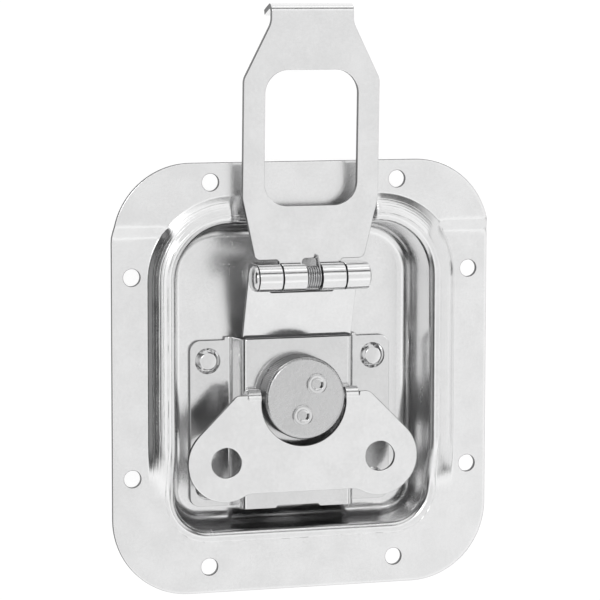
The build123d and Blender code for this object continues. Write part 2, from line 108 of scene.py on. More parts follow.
class LATCH_PG_dish(bpy.types.PropertyGroup):
    """Sizes of the pressed dish; its outside comes from the frame."""
    sheet: length_setting("Sheet", 1.2, "Thickness of the pressed sheet")
    mouth_half_width: length_setting("Mouth half width", 34.5, "From the middle to the pan's side wall")
    mouth_top: length_setting("Mouth top", 39.2, "Upper edge of the pan's mouth")
    mouth_bottom: length_setting("Mouth bottom", -41.2, "Lower edge of the pan's mouth")
    top_corner: length_setting("Top corner", 14.5, "Corner radius of the mouth at the hook end")
    bottom_corner: length_setting("Bottom corner", 9.5, "Corner radius of the mouth at the handle end")
    flange_corner: length_setting("Flange corner", 20.5, "Corner radius of the flange")
    rim_round: length_setting("Rim round", 0.3, "How far the flange's upper edge is rounded")
    step: length_setting("Step", 1.5, "How much higher the hook end of the flange stands")
    step_start: length_setting("Step start", 36.2, "Where the step begins")
    step_end: length_setting("Step end", 39.3, "Where the step ends")
    bead_top: length_setting("Bead top", 4.2, "Height of the bead over the mounting face")
    bead_foot: length_setting("Bead foot", 7.2, "From the mouth to the foot of the bead's flank")
    bead_high_foot: length_setting("Bead high foot", 7.6, "The same on the stepped end of the flange")
    foot_round: length_setting("Foot round", 0.4, "How softly the flank runs out into the flange")
    notch: length_setting("Notch", 17.5, "Half of the gap in the bead that lets the hasp through")
    notch_run: length_setting("Notch run", 2.5, "Length of the bead's slope down to the gap")
    fade_start: length_setting("Fade start", -17.5, "Where the bead begins to sink into the flange")
    fade_end: length_setting("Fade end", -33.0, "Where the bead has gone")
    die_mark: length_setting("Die mark", 0.05, "Depth of the line that the press leaves along the crest")
    lip: length_setting("Lip radius", 2.2, "Radius of the bead's crest and of the plain lip")
    floor_fillet: length_setting("Floor radius", 3.6, "Radius between the pan's wall and floor")
    draft: angle_setting("Draft", 6, "Slope of the pan's wall")
    screw_hole: length_setting("Hole radius", 2.25, "Radius of the screw holes")
    hole_edge: length_setting("Hole edge", 0.12, "Chamfer of the screw holes")
    side_hole_inset: length_setting("Side hole inset", 5.25, "Side holes from the flange's side")
    side_hole_y: length_setting("Side hole place", 26.1, "Side holes from the origin along the latch")
    end_hole_x: length_setting("End hole place", 25.25, "End holes from the middle line")
    top_hole_inset: length_setting("Top hole inset", 5.05, "Top holes from the flange's end")
    bottom_hole_inset: length_setting("Bottom hole inset", 6.9, "Bottom holes from the flange's end")


class LATCH_PG_bracket(bpy.types.PropertyGroup):
    """Sizes of the hat-section bracket and its rivets."""
    sheet: length_setting("Sheet", 1.2, "Thickness of the bracket")
    edge: length_setting("Edge round", 0.16, "How far punched edges are rounded")
    wall_foot: length_setting("Wall foot", 16.0, "From the middle to the foot of the side wall")
    wall_top: length_setting("Wall top", 14.7, "From the middle to the top of the side wall")
    bend: length_setting("Bend", 1.5, "Bend radius at the middle of the sheet")
    corner: length_setting("Ear corner", 2.8, "Corner radius of the ears")
    setback: length_setting("Ear setback", 0.8, "How much shorter the ears are at the hook end")
    setback_start: length_setting("Setback start", 2.1, "From the side wall's foot to the setback")
    notch: length_setting("Notch", 6.1, "Half width of the notch in the lower end")
    notch_corner: length_setting("Notch corner", 0.35, "Corner radius where the notch begins")
    notch_depth: length_setting("Notch depth", 0.65, "Depth of that notch")
    neck_hole: length_setting("Neck hole", 7.26, "Radius of the hole for the drum's neck")
    rivet_shank: length_setting("Rivet shank", 1.9, "Radius of the rivets' shanks")
    rivet_base: length_setting("Rivet base", 3.45, "Radius of the rivet heads at their foot")
    rivet_top: length_setting("Rivet top", 2.12, "Radius of the rivet heads' flat tops")
    rivet_head: length_setting("Rivet head", 0.9, "Height of the rivet heads over the ears")


class LATCH_PG_drum(bpy.types.PropertyGroup):
    """Sizes of the drum, its knurl and its studs."""
    neck: length_setting("Neck", 7.2, "Radius of the neck in the bracket's roof")
    neck_length: length_setting("Neck length", 1.55, "From the neck's foot to the drum's lower face")
    rim: length_setting("Rim", 0.9, "Rounding of the face's rim")
    knurl: length_setting("Knurl depth", 0.2, "How far the knurl stands proud")
    tooth: length_setting("Tooth", 0.21, "Radius of one tooth of the knurl")
    teeth: bpy.props.IntProperty(name="Teeth", default=132, description="Number of teeth of the knurl")
    stud_edge: length_setting("Stud edge", 0.2, "Height of the studs' rounded edge")
    stud_dimple: length_setting("Stud dimple", 0.85, "Depth of the spun dimple in each stud")
    dimple_radius: length_setting("Dimple radius", 2.2, "Radius of the dimple's ball")
    dimple_lip: length_setting("Dimple lip", 1.9, "Radius at which the dimple begins")


class LATCH_PG_handle(bpy.types.PropertyGroup):
    """Sizes of the butterfly handle."""
    sheet: length_setting("Sheet", 1.2, "Thickness of the handle")
    edge: length_setting("Edge round", 0.28, "How far its punched edges are rounded")
    finger_hole: length_setting("Finger hole", 3.95, "Radius of the holes in the wings")
    wing: length_setting("Wing radius", 10.3, "Radius of the wing tips")
    top: length_setting("Top", -5.4, "Edge beside the drum")
    waist: length_setting("Waist", -31.2, "Lower edge between the wings")
    waist_blend: length_setting("Waist blend", 5.0, "Radius from the wing tips to the waist")
    top_corner: length_setting("Top corner", 2.5, "Radius between the top and the wing's slope")
    cutout: length_setting("Cut-out", 11.5, "Radius of the cut-out round the drum")
    cutout_drop: length_setting("Cut-out drop", 1.2, "Centre of the cut-out below the drum's axis")
    eye: length_setting("Eye", 2.4, "Outer radius of the rolled eyes")
    eye_bore: length_setting("Eye bore", 1.19, "Inner radius of the rolled eyes")
    eye_inner: length_setting("Eye inner end", 11.35, "From the middle to an eye's inner end")
    eye_outer: length_setting("Eye outer end", 15.2, "From the middle to an eye's outer end")
    eye_chamfer: length_setting("Eye chamfer", 0.25, "Chamfer of the eyes' ends")


class LATCH_PG_leaf(bpy.types.PropertyGroup):
    """Sizes of the sliding leaf."""
    flat: length_setting("Flat", -7.05, "Height of the part that runs round the cam")
    slope: angle_setting("Slope", 19.4, "Rise of the leaf towards the hinge")
    exit_y: length_setting("Exit place", 8.849, "A point of the slope, along the latch")
    exit_z: length_setting("Exit height", -4.607, "The height of that point")
    bend: length_setting("Bend", 1.8, "Bend radius at the middle of the sheet")
    guided: length_setting("Guided", 13.6, "Half width under the bracket's roof")
    shoulder: length_setting("Shoulder", 9.2, "Where the leaf gets wider")
    joint: length_setting("Joint", 8.68, "Inner end of the outer knuckles")
    gap: length_setting("Gap", 21.2, "Where the gap between the knuckles begins")
    window_half: length_setting("Window half width", 10.5, "Half width of the window for the cam")
    window_middle: length_setting("Window middle", -10.5, "Middle of the window along the latch")
    window_reach: length_setting("Window reach", 6.95, "Half length of the window")


class LATCH_PG_hasp(bpy.types.PropertyGroup):
    """Sizes of the hasp; heights count from the barrel's tangent."""
    sheet: length_setting("Sheet", 1.5, "Thickness of the hasp and the leaf")
    edge: length_setting("Edge round", 0.16, "How far punched edges are rounded")
    tilt: angle_setting("Tilt", 2.1, "Rise of the hasp at rest")
    length: length_setting("Length", 67.9, "From the barrel to the hook's bend")
    hook_bend: length_setting("Hook bend", 1.4, "Bend radius of the hook")
    hook_angle: angle_setting("Hook angle", 112, "How far the hook is bent")
    hook_lip: length_setting("Hook lip", 5.2, "Length of the hook's lip")
    foot: length_setting("Foot", 4.4, "Height of the shoulder over the barrel")
    foot_half: length_setting("Foot half width", 14.6, "Half width at the shoulder")
    wide_half: length_setting("Wide half width", 18.2, "Half width at the window")
    wide_low: length_setting("Wide start", 20.3, "Where the full width begins")
    wide_high: length_setting("Wide end", 50.8, "Where the full width ends")
    neck_half: length_setting("Neck half width", 11.0, "Half width of the hook")
    neck: length_setting("Neck", 65.2, "Where the neck begins")
    joint: length_setting("Joint", 8.32, "Half length of the inner knuckles")
    spring_gap: length_setting("Spring gap", 2.06, "Half width of the slot for the spring")
    spring_slot: length_setting("Spring slot", 4.6, "Height of the slot for the spring")
    window_half: length_setting("Window half width", 12.45, "Half width of the window")
    window_low: length_setting("Window start", 18.2, "Lower edge of the window")
    window_high: length_setting("Window end", 53.2, "Upper edge of the window")
    window_corner: length_setting("Window corner", 6.2, "Corner radius of the window")


class LATCH_PG_hinge(bpy.types.PropertyGroup):
    """Sizes of the hinge and its spring."""
    axis_y: length_setting("Axis Y", 25.85, "Hinge axis along the latch")
    axis_z: length_setting("Axis Z", 9.5, "Hinge axis over the mounting face")
    knuckle: length_setting("Knuckle radius", 3.5, "Outer radius of the rolled knuckles")
    curl: angle_setting("Curl", 285, "How far the knuckles are rolled")
    pin: length_setting("Pin radius", 1.95, "Radius of the hinge pin")
    pin_head: length_setting("Pin head", 3.4, "Radius of the pin's head")
    head_length: length_setting("Head length", 1.9, "Length of the pin's head")
    wire: length_setting("Wire radius", 0.3, "Radius of the spring wire")
    coil: length_setting("Coil radius", 2.62, "Mean radius of the spring's coil")
    pitch: length_setting("Coil pitch", 0.62, "Distance from turn to turn")
    turns: factor_setting("Turns", 5.36, "Turns of the spring")
    leg: length_setting("Leg", 4.9, "Length of the spring's straight ends")


class LATCH_PG_finish(bpy.types.PropertyGroup):
    """Colours and polish of the plated steel."""
    plate: colour_setting("Plate", (0.86, 0.86, 0.862), "Colour of the bright zinc on sheet")
    turned: colour_setting("Turned", (0.78, 0.78, 0.782), "Colour of the zinc on formed parts")
    drum: colour_setting("Drum", (0.62, 0.62, 0.622), "Colour of the zinc on the turned drum")
    spring: colour_setting("Spring", (0.50, 0.50, 0.505), "Colour of the spring wire")
    # painted shade: cut edges and the knurl's teeth get this near-black colour, which stands for the shade
    # and dark reflections in them as well as the duller steel of a cut edge
    sheared: colour_setting("Sheared", (0.15, 0.15, 0.152), "Colour of the steel on punched edges")
    roughness: factor_setting("Roughness", 1.0, "Times the roughness of every finish")
    marks: factor_setting("Marks", 1.0, "Times the strength of the handling marks")


class LATCH_PG_stage(bpy.types.PropertyGroup):
    """Camera, floor and lights."""
    camera_place: bpy.props.FloatVectorProperty(
        name="Camera", default=(-0.2276, 0.1058, 0.7420), description="Camera location", subtype="XYZ")
    camera_turn: bpy.props.FloatVectorProperty(
        name="Camera turn", default=[math.radians(turn) for turn in (-6.420, -17.017, 0.0935)],
        description="Camera rotation", subtype="EULER")
    camera_lens: factor_setting("Lens", 179.68, "Focal length in millimetres")
    floor: colour_setting("Floor", (0.2, 0.2, 0.2), "Colour of the floor without its own light")
    floor_glow: factor_setting("Floor glow", 0.87, "Light that the floor gives off")


GROUPS = {"dish": LATCH_PG_dish, "bracket": LATCH_PG_bracket, "drum": LATCH_PG_drum,
          "handle": LATCH_PG_handle, "leaf": LATCH_PG_leaf, "hasp": LATCH_PG_hasp,
          "hinge": LATCH_PG_hinge, "finish": LATCH_PG_finish, "stage": LATCH_PG_stage}


def settings(group):
    """The values of one property group on the scene."""
    return getattr(bpy.context.scene, "latch_" + group)


# ---------------------------------------------------------------- meshes and objects

def mesh_of(shape, name):
    """A mesh of a bmesh that is no longer needed."""
    mesh = bpy.data.meshes.new(name)
    shape.to_mesh(mesh)
    shape.free()
    return mesh


def add_mesh(shape, mesh):
    """Adds to a bmesh a mesh that is no longer needed."""
    shape.from_mesh(mesh)
    bpy.data.meshes.remove(mesh)
    return shape


def linked(name, data):
    """A new object in the scene."""
    made = bpy.data.objects.new(name, data)
    bpy.context.scene.collection.objects.link(made)
    return made


def evaluated_mesh(holder):
    """The plain mesh that an object and its modifiers make; the object goes."""
    bpy.context.view_layer.update()
    evaluated = holder.evaluated_get(bpy.context.evaluated_depsgraph_get())
    mesh = bpy.data.meshes.new_from_object(evaluated)
    bpy.data.objects.remove(holder)
    return mesh


def ease(share):
    """A share held between 0 and 1 that starts and ends softly."""
    share = min(max(share, 0), 1)
    return share * share * (3 - 2 * share)


def angles_round(steps):
    """Even angles round a full turn."""
    return np.linspace(0, FULL_TURN, steps, endpoint=False)


# ---------------------------------------------------------------- outlines and folds

def round_corners(corners):
    """A closed outline in mm from (x, y, radius) corners, each radius drawn as a fine arc."""
    outline = []
    for index, (x, y, radius) in enumerate(corners):
        here = Vector((x, y))
        before = Vector(corners[index - 1][:2]) - here
        after = Vector(corners[(index + 1) % len(corners)][:2]) - here
        turn = math.pi - before.angle(after)
        if radius <= 0 or turn < 1e-4:
            outline.append(here)
            continue
        reach = radius * math.tan(turn / 2)
        first = here + before.normalized() * reach
        side = 1 if before.cross(after) < 0 else -1
        centre = first - Vector((-before.y, before.x)).normalized() * radius * side
        start = first - centre
        steps = max(2, math.ceil(turn / ARC_STEP))
        for step in range(steps + 1):
            angle = side * turn * step / steps
            outline.append(centre + Matrix.Rotation(angle, 2) @ start)
    return outline


def polar(radius, angle):
    """A point in the plane from its radius and angle."""
    return Vector((radius * math.cos(angle), radius * math.sin(angle)))


def circle(x, y, radius):
    """A closed round outline in mm."""
    return [Vector((x, y)) + polar(radius, angle) for angle in angles_round(ROUND_STEPS)]


def mirrored(half):
    """A closed outline from its right half, given from its lower end to its upper end."""
    return half + [(-x, y, radius) for x, y, radius in reversed(half)]


def punched_plate(outlines, thickness, edge):
    """A flat plate in mm, its mid plane at z = 0, with every punched edge rounded."""
    curve = bpy.data.curves.new("outline", "CURVE")
    curve.dimensions = "2D"
    curve.fill_mode = "BOTH"
    curve.extrude = thickness / 2 - edge
    curve.bevel_depth = edge
    curve.bevel_resolution = 2
    curve.offset = -edge
    for outline in outlines:
        spline = curve.splines.new("POLY")
        spline.points.add(len(outline) - 1)
        for point, place in zip(spline.points, outline):
            point.co = (place[0], place[1], 0, 1)
        spline.use_cyclic_u = True
    shape = add_mesh(bmesh.new(), evaluated_mesh(linked("outline", curve)))
    bpy.data.curves.remove(curve)
    bmesh.ops.remove_doubles(shape, verts=shape.verts, dist=1e-4)
    bmesh.ops.recalc_face_normals(shape, faces=shape.faces)
    for face in shape.faces:
        # steep faces are cut edges and get the dark edge finish, partly painted shade
        face.material_index = DULL_SHADED_EDGES if abs(face.normal.z) < UP_SHARE else 0
    return shape


class FoldPath:
    """The bent centre line of a sheet: straight runs and arcs, measured along the sheet in mm."""

    def __init__(self, start, heading):
        self.pieces = []
        self.length = 0.0
        self.place = Vector(start)
        self.heading = heading

    def run(self, length):
        """A straight stretch."""
        self.pieces.append((self.length, length, self.place.copy(), self.heading, 0.0))
        self.place += polar(length, self.heading)
        self.length += length
        return self

    def bend(self, radius, turn):
        """An arc of the centre line, positive to the left."""
        self.pieces.append((self.length, radius * abs(turn), self.place.copy(), self.heading,
                            math.copysign(1 / radius, turn)))
        self.place = self.at(self.length + radius * abs(turn))[0]
        self.heading += turn
        self.length += radius * abs(turn)
        return self

    def at(self, distance):
        """Place and left-hand normal at a distance along the sheet."""
        begin, length, place, heading, bend = self.pieces[0]
        for piece in self.pieces:
            if distance >= piece[0] - 1e-9:
                begin, length, place, heading, bend = piece
        along = distance - begin
        now = heading + bend * along
        normal = polar(1, now + math.pi / 2)
        if bend:
            return place + (polar(1, heading + math.pi / 2) - normal) / bend, normal
        return place + polar(along, heading), normal

    def creases(self):
        """Distances at which a flat blank is cut so that it can bend."""
        cuts = []
        for begin, length, _, _, bend in self.pieces:
            count = max(1, math.ceil(length * abs(bend) / ARC_STEP)) if bend else 1
            cuts += [begin + length * step / count for step in range(count + 1)]
        return sorted(set(round(cut, 6) for cut in cuts))


def fold(shape, path, place):
    """Bends a flat blank, whose X is the distance along the path; place(point, y) gives mm in the frame."""
    for cut in path.creases():
        bmesh.ops.bisect_plane(shape, geom=shape.verts[:] + shape.edges[:] + shape.faces[:],
                               plane_co=(cut, 0, 0), plane_no=(1, 0, 0), dist=1e-5)
    for vert in shape.verts:
        point, normal = path.at(vert.co.x)
        vert.co = place(point + normal * vert.co.z, vert.co.y)
    bmesh.ops.recalc_face_normals(shape, faces=shape.faces)
    return shape


def folded_through(points, radius):
    """A fold path along a polyline, bent round every inner corner."""
    points = [Vector(point) for point in points]
    legs = [after - before for before, after in zip(points, points[1:])]
    headings = [math.atan2(leg.y, leg.x) for leg in legs]
    turns = [math.remainder(after - before, FULL_TURN) for before, after in zip(headings, headings[1:])]
    cuts = [0.0, *[radius * math.tan(abs(turn) / 2) for turn in turns], 0.0]
    path = FoldPath(points[0], headings[0])
    for index, leg in enumerate(legs):
        path.run(leg.length - cuts[index] - cuts[index + 1])
        if index < len(turns):
            path.bend(radius, turns[index])
    return path


def rounded_rectangle(left, right, low, high, radius):
    """A closed outline with round corners."""
    return round_corners([(left, low, radius), (right, low, radius), (right, high, radius),
                          (left, high, radius)])


def swapped(outline):
    """The same outline with its two directions exchanged."""
    return [Vector((y, x)) for x, y in outline]


def bisected(holds, near, far):
    """The furthest value from near at which a condition still holds."""
    for _ in range(40):
        middle = (near + far) / 2
        near, far = (middle, far) if holds(middle) else (near, middle)
    return near


def lathe(profile, steps=TURNED_STEPS):
    """A turned solid in mm round Z from (radius, z) points that start and end on the axis."""
    shape = bmesh.new()
    rings = []
    for radius, z in profile:
        points = [Vector((0, 0))] if radius < 1e-6 else [polar(radius, a) for a in angles_round(steps)]
        rings.append([shape.verts.new((*point, z)) for point in points])
    for low, high in zip(rings, rings[1:]):
        for index in range(steps):
            following = (index + 1) % steps
            if len(low) == 1:
                shape.faces.new((low[0], high[following], high[index]))
            elif len(high) == 1:
                shape.faces.new((low[index], low[following], high[0]))
            else:
                shape.faces.new((low[index], low[following], high[following], high[index]))
    bmesh.ops.recalc_face_normals(shape, faces=shape.faces)
    return shape


def ring(profile, steps):
    """A turned ring in mm round Z from a closed section of (radius, z) points."""
    shape = bmesh.new()
    rows = [[shape.verts.new((*polar(radius, a), z)) for a in angles_round(steps)] for radius, z in profile]
    for index, row in enumerate(rows):
        following = rows[(index + 1) % len(rows)]
        for step in range(steps):
            after = (step + 1) % steps
            shape.faces.new((row[step], row[after], following[after], following[step]))
    bmesh.ops.recalc_face_normals(shape, faces=shape.faces)
    return shape


def arc_points(centre, radius, start, end, steps=8):
    """Points of an arc in a lathe profile; angles in degrees."""
    angles = np.radians(np.linspace(start, end, steps + 1))
    return [tuple(Vector(centre) + polar(radius, angle)) for angle in angles]


def tied(name, mesh, body, stands_for):
    """A finished mesh as a piece that rides on a body of the frame."""
    mesh.name = name
    piece = linked(name, mesh)
    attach(piece, body)
    if stands_for:
        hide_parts(*stands_for)
    return piece


def smooth(mesh, sharp):
    """Smooth shading with an edge wherever faces meet at more than this angle in degrees."""
    mesh.shade_smooth()
    mesh.set_sharp_from_angle(angle=math.radians(sharp))


def finished(name, shapes, finish, body, stands_for, sharp=TURNED_SHARP):
    """Joins bmesh shapes in mm into one shaded piece in metres and ties it to the frame."""
    joined = bmesh.new()
    for shape in shapes:
        add_mesh(joined, mesh_of(shape, "part"))
    bmesh.ops.scale(joined, vec=(MM, MM, MM), verts=joined.verts)
    mesh = mesh_of(joined, "shading")
    smooth(mesh, sharp)
    mesh.materials.append(plated_steel(finish))
    # cut faces get the dark edge finish, partly painted shade
    if any(face.material_index == DULL_SHADED_EDGES for face in mesh.polygons):
        mesh.materials.append(dull_and_shaded_zinc())
    holder = linked("shading", mesh)
    flat = holder.modifiers.new("Flat faces", "WEIGHTED_NORMAL")
    flat.keep_sharp = True
    flat.weight = 80
    shaded = evaluated_mesh(holder)
    bpy.data.meshes.remove(mesh)
    return tied(name, shaded, body, stands_for)


def placed(shape, matrix):
    """The same shape moved by a matrix in mm."""
    bmesh.ops.transform(shape, matrix=matrix, verts=shape.verts)
    return shape


# ---------------------------------------------------------------- surface shading

# material: colour setting, roughness, pits per metre, strength of the pits and of the handling marks
FINISHES = {
    "bright_zinc_dish": ("plate", 0.22, 1500, 0.16, 0.035),
    "bright_zinc_bracket": ("turned", 0.14, 1500, 0.2, 0.05),
    "bright_zinc_rivets": ("turned", 0.08, 1300, 0.2, 0.03),
    "bright_zinc_drum": ("drum", 0.26, 1100, 1.6, 0.1),
    "bright_zinc_studs": ("turned", 0.08, 1300, 0.15, 0.02),
    "bright_zinc_handle": ("plate", 0.2, 1300, 0.22, 0.035),
    "bright_zinc_leaf": ("plate", 0.14, 1500, 0.15, 0.06),
    "bright_zinc_hasp": ("plate", 0.15, 1300, 0.2, 0.035),
    "bright_zinc_pin": ("turned", 0.14, 1500, 0.4, 0.03),
    "bright_zinc_friction_washer": ("turned", 0.2, 2400, 0.1, 0.03),
    "bright_zinc_cam": ("turned", 0.2, 2400, 0.1, 0.03),
    "bright_zinc_handle_pin": ("turned", 0.2, 2400, 0.1, 0.03),
    "spring_wire": ("spring", 0.25, 2600, 0.1, 0.02),
    # painted shade: the dark colour of cut edges and of the knurl's teeth stands partly for the shade and
    # dark reflections in them, partly for duller steel
    "sheared_zinc": ("sheared", 0.42, 1500, 0.3, 0.0),
}
CLOUDS_PER_METRE = 130
CLOUD_SHARE = 0.6           # against the share of the pits in the tone
CLOUD_TINT = 0.94           # the darkest clouds, times the colour
PIT_DEPTH = 0.00005
MARKS_PER_METRE = 120
MARK_DIRECTIONS = ((0.5, 14), (1.9, 20))    # turn in radians, stretch


def add_node(tree, kind, inputs=None, **attributes):
    """A node with its attributes and its inputs' values set."""
    made = tree.nodes.new(kind)
    for name, value in attributes.items():
        setattr(made, name, value)
    for socket, value in (inputs or {}).items():
        made.inputs[socket].default_value = value
    return made


def add_sockets(tree, inputs, outputs):
    """The named sockets of a node group: inputs are (name, kind, default), outputs (name, kind)."""
    for name, kind, default in inputs:
        made = tree.interface.new_socket(name, in_out="INPUT", socket_type=kind)
        if default is not None:
            made.default_value = default
    for name, kind in outputs:
        tree.interface.new_socket(name, in_out="OUTPUT", socket_type=kind)
    return tree.nodes.new("NodeGroupInput").outputs, tree.nodes.new("NodeGroupOutput").inputs


def plated_grain():
    """Soft clouds and fine pits of an electroplated surface, made once."""
    name = "Plated grain"
    if name in bpy.data.node_groups:
        return bpy.data.node_groups[name]
    tree = bpy.data.node_groups.new(name, "ShaderNodeTree")
    entry, leave = add_sockets(
        tree, [("Vector", "NodeSocketVector", None), ("Fineness", "NodeSocketFloat", 2200),
               ("Depth", "NodeSocketFloat", 0.1)],
        [("Tone", "NodeSocketFloat"), ("Normal", "NodeSocketVector")])
    link = tree.links.new
    clouds = add_node(tree, "ShaderNodeTexNoise", {"Scale": CLOUDS_PER_METRE, "Detail": 4})
    pits = add_node(tree, "ShaderNodeTexNoise", {"Detail": 3})
    mixed = add_node(tree, "ShaderNodeMix", {0: 1 - CLOUD_SHARE})
    bump = add_node(tree, "ShaderNodeBump", {"Distance": PIT_DEPTH})
    for texture in (clouds, pits):
        link(entry["Vector"], texture.inputs["Vector"])
    link(entry["Fineness"], pits.inputs["Scale"])
    link(clouds.outputs["Fac"], mixed.inputs[2])
    link(pits.outputs["Fac"], mixed.inputs[3])
    link(entry["Depth"], bump.inputs["Strength"])
    link(pits.outputs["Fac"], bump.inputs["Height"])
    link(mixed.outputs[0], leave["Tone"])
    link(bump.outputs["Normal"], leave["Normal"])
    return tree


def handling_marks():
    """A mask of thin scattered scratches, made once."""
    name = "Handling marks"
    if name in bpy.data.node_groups:
        return bpy.data.node_groups[name]
    tree = bpy.data.node_groups.new(name, "ShaderNodeTree")
    entry, leave = add_sockets(tree, [("Vector", "NodeSocketVector", None)], [("Mask", "NodeSocketFloat")])
    link = tree.links.new
    both = add_node(tree, "ShaderNodeMath", operation="MAXIMUM")
    for index, (turn, stretch) in enumerate(MARK_DIRECTIONS):
        mapping = add_node(tree, "ShaderNodeMapping", {"Rotation": (0, 0, turn), "Scale": (stretch, 1, 1)})
        streaks = add_node(tree, "ShaderNodeTexNoise", {"Scale": MARKS_PER_METRE, "Detail": 2})
        thin = add_node(tree, "ShaderNodeMapRange", {"From Min": 0.66, "From Max": 0.74})
        link(entry["Vector"], mapping.inputs["Vector"])
        link(mapping.outputs["Vector"], streaks.inputs["Vector"])
        link(streaks.outputs["Fac"], thin.inputs["Value"])
        link(thin.outputs["Result"], both.inputs[index])
    link(both.outputs[0], leave["Mask"])
    return tree


def plated_steel(name):
    """Zinc on steel: clouds in its colour and gloss, fine pits and a few handling marks."""
    finish = settings("finish")
    colour_name, roughness, fineness, depth, marks = FINISHES[name]
    colour = getattr(finish, colour_name)
    roughness *= finish.roughness
    material = bpy.data.materials.new(name)
    material.use_nodes = True
    tree = material.node_tree
    link = tree.links.new
    shader = tree.nodes["Principled BSDF"]
    shader.inputs["Metallic"].default_value = 1
    place = add_node(tree, "ShaderNodeTexCoord")
    grain = add_node(tree, "ShaderNodeGroup", node_tree=plated_grain())
    grain.inputs["Fineness"].default_value = fineness
    grain.inputs["Depth"].default_value = depth
    scratches = add_node(tree, "ShaderNodeGroup", node_tree=handling_marks())
    gloss = add_node(tree, "ShaderNodeMapRange", {
        "From Min": 0.3, "From Max": 0.7, "To Min": roughness * 0.8, "To Max": roughness * 1.25})
    rougher = add_node(tree, "ShaderNodeMath", {1: marks * finish.marks}, operation="MULTIPLY_ADD")
    cloud = add_node(tree, "ShaderNodeMapRange", {"From Min": 0.38, "From Max": 0.62})
    tint = add_node(tree, "ShaderNodeMix", data_type="RGBA")
    tint.inputs["A"].default_value = (*[channel * CLOUD_TINT for channel in colour], 1)
    tint.inputs["B"].default_value = (*colour, 1)
    for group in (grain, scratches):
        link(place.outputs["Object"], group.inputs["Vector"])
    for remapped in (gloss, cloud):
        link(grain.outputs["Tone"], remapped.inputs["Value"])
    link(scratches.outputs["Mask"], rougher.inputs[0])
    link(gloss.outputs["Result"], rougher.inputs[2])
    link(rougher.outputs[0], shader.inputs["Roughness"])
    link(cloud.outputs["Result"], tint.inputs["Factor"])
    link(tint.outputs["Result"], shader.inputs["Base Color"])
    link(grain.outputs["Normal"], shader.inputs["Normal"])
    return material


def dull_and_shaded_zinc():
    """The finish of punched edges and of the knurl's teeth, made once: duller steel, darkened further as
    painted shade.
    """
    return bpy.data.materials.get("sheared_zinc") or plated_steel("sheared_zinc")


# ---------------------------------------------------------------- geometry nodes

def node_tree(name, inputs):
    """An empty geometry node group with named inputs and one geometry output."""
    tree = bpy.data.node_groups.new(name, "GeometryNodeTree")
    entry, leave = add_sockets(tree, [("Geometry", "NodeSocketGeometry", None), *inputs],
                               [("Geometry", "NodeSocketGeometry")])
    return tree, tree.links.new, entry, leave


def grown(tree, mesh, values):
    """The mesh that a geometry node tree makes of a start mesh with these input values."""
    holder = linked("growing", mesh)
    modifier = holder.modifiers.new("grow", "NODES")
    modifier.node_group = tree
    for item in tree.interface.items_tree:
        if item.in_out == "INPUT" and item.name in values:
            modifier[item.identifier] = values[item.name]
    return evaluated_mesh(holder)


def realized(tree, instances, entry, leave):
    """Ends a tree: real geometry with the material from its input."""
    link = tree.links.new
    real = add_node(tree, "GeometryNodeRealizeInstances")
    paint = add_node(tree, "GeometryNodeSetMaterial")
    link(instances, real.inputs["Geometry"])
    link(real.outputs["Geometry"], paint.inputs["Geometry"])
    link(entry["Material"], paint.inputs["Material"])
    link(paint.outputs["Geometry"], leave["Geometry"])


def rivet_grid_tree():
    """Copies of the input mesh on the corners of a rectangle."""
    tree, link, entry, leave = node_tree("Rivet grid", [
        ("Spacing X", "NodeSocketFloat", 0.045), ("Spacing Y", "NodeSocketFloat", 0.033),
        ("Material", "NodeSocketMaterial", None)])
    grid = add_node(tree, "GeometryNodeMeshGrid", {"Vertices X": 2, "Vertices Y": 2})
    copies = add_node(tree, "GeometryNodeInstanceOnPoints")
    link(entry["Spacing X"], grid.inputs["Size X"])
    link(entry["Spacing Y"], grid.inputs["Size Y"])
    link(grid.outputs["Mesh"], copies.inputs["Points"])
    link(entry["Geometry"], copies.inputs["Instance"])
    realized(tree, copies.outputs["Instances"], entry, leave)
    return tree


def knurl_tree():
    """Copies of the input mesh round a circle, each turned outwards."""
    tree, link, entry, leave = node_tree("Knurl", [
        ("Count", "NodeSocketInt", 120), ("Radius", "NodeSocketFloat", 0.0109),
        ("Material", "NodeSocketMaterial", None)])
    circle_line = add_node(tree, "GeometryNodeMeshCircle")
    place = add_node(tree, "GeometryNodeInputPosition")
    turn = add_node(tree, "FunctionNodeAlignRotationToVector", axis="X", pivot_axis="Z")
    copies = add_node(tree, "GeometryNodeInstanceOnPoints")
    link(entry["Count"], circle_line.inputs["Vertices"])
    link(entry["Radius"], circle_line.inputs["Radius"])
    link(circle_line.outputs["Mesh"], copies.inputs["Points"])
    link(entry["Geometry"], copies.inputs["Instance"])
    link(place.outputs["Position"], turn.inputs["Vector"])
    link(turn.outputs["Rotation"], copies.inputs["Rotation"])
    realized(tree, copies.outputs["Instances"], entry, leave)
    return tree


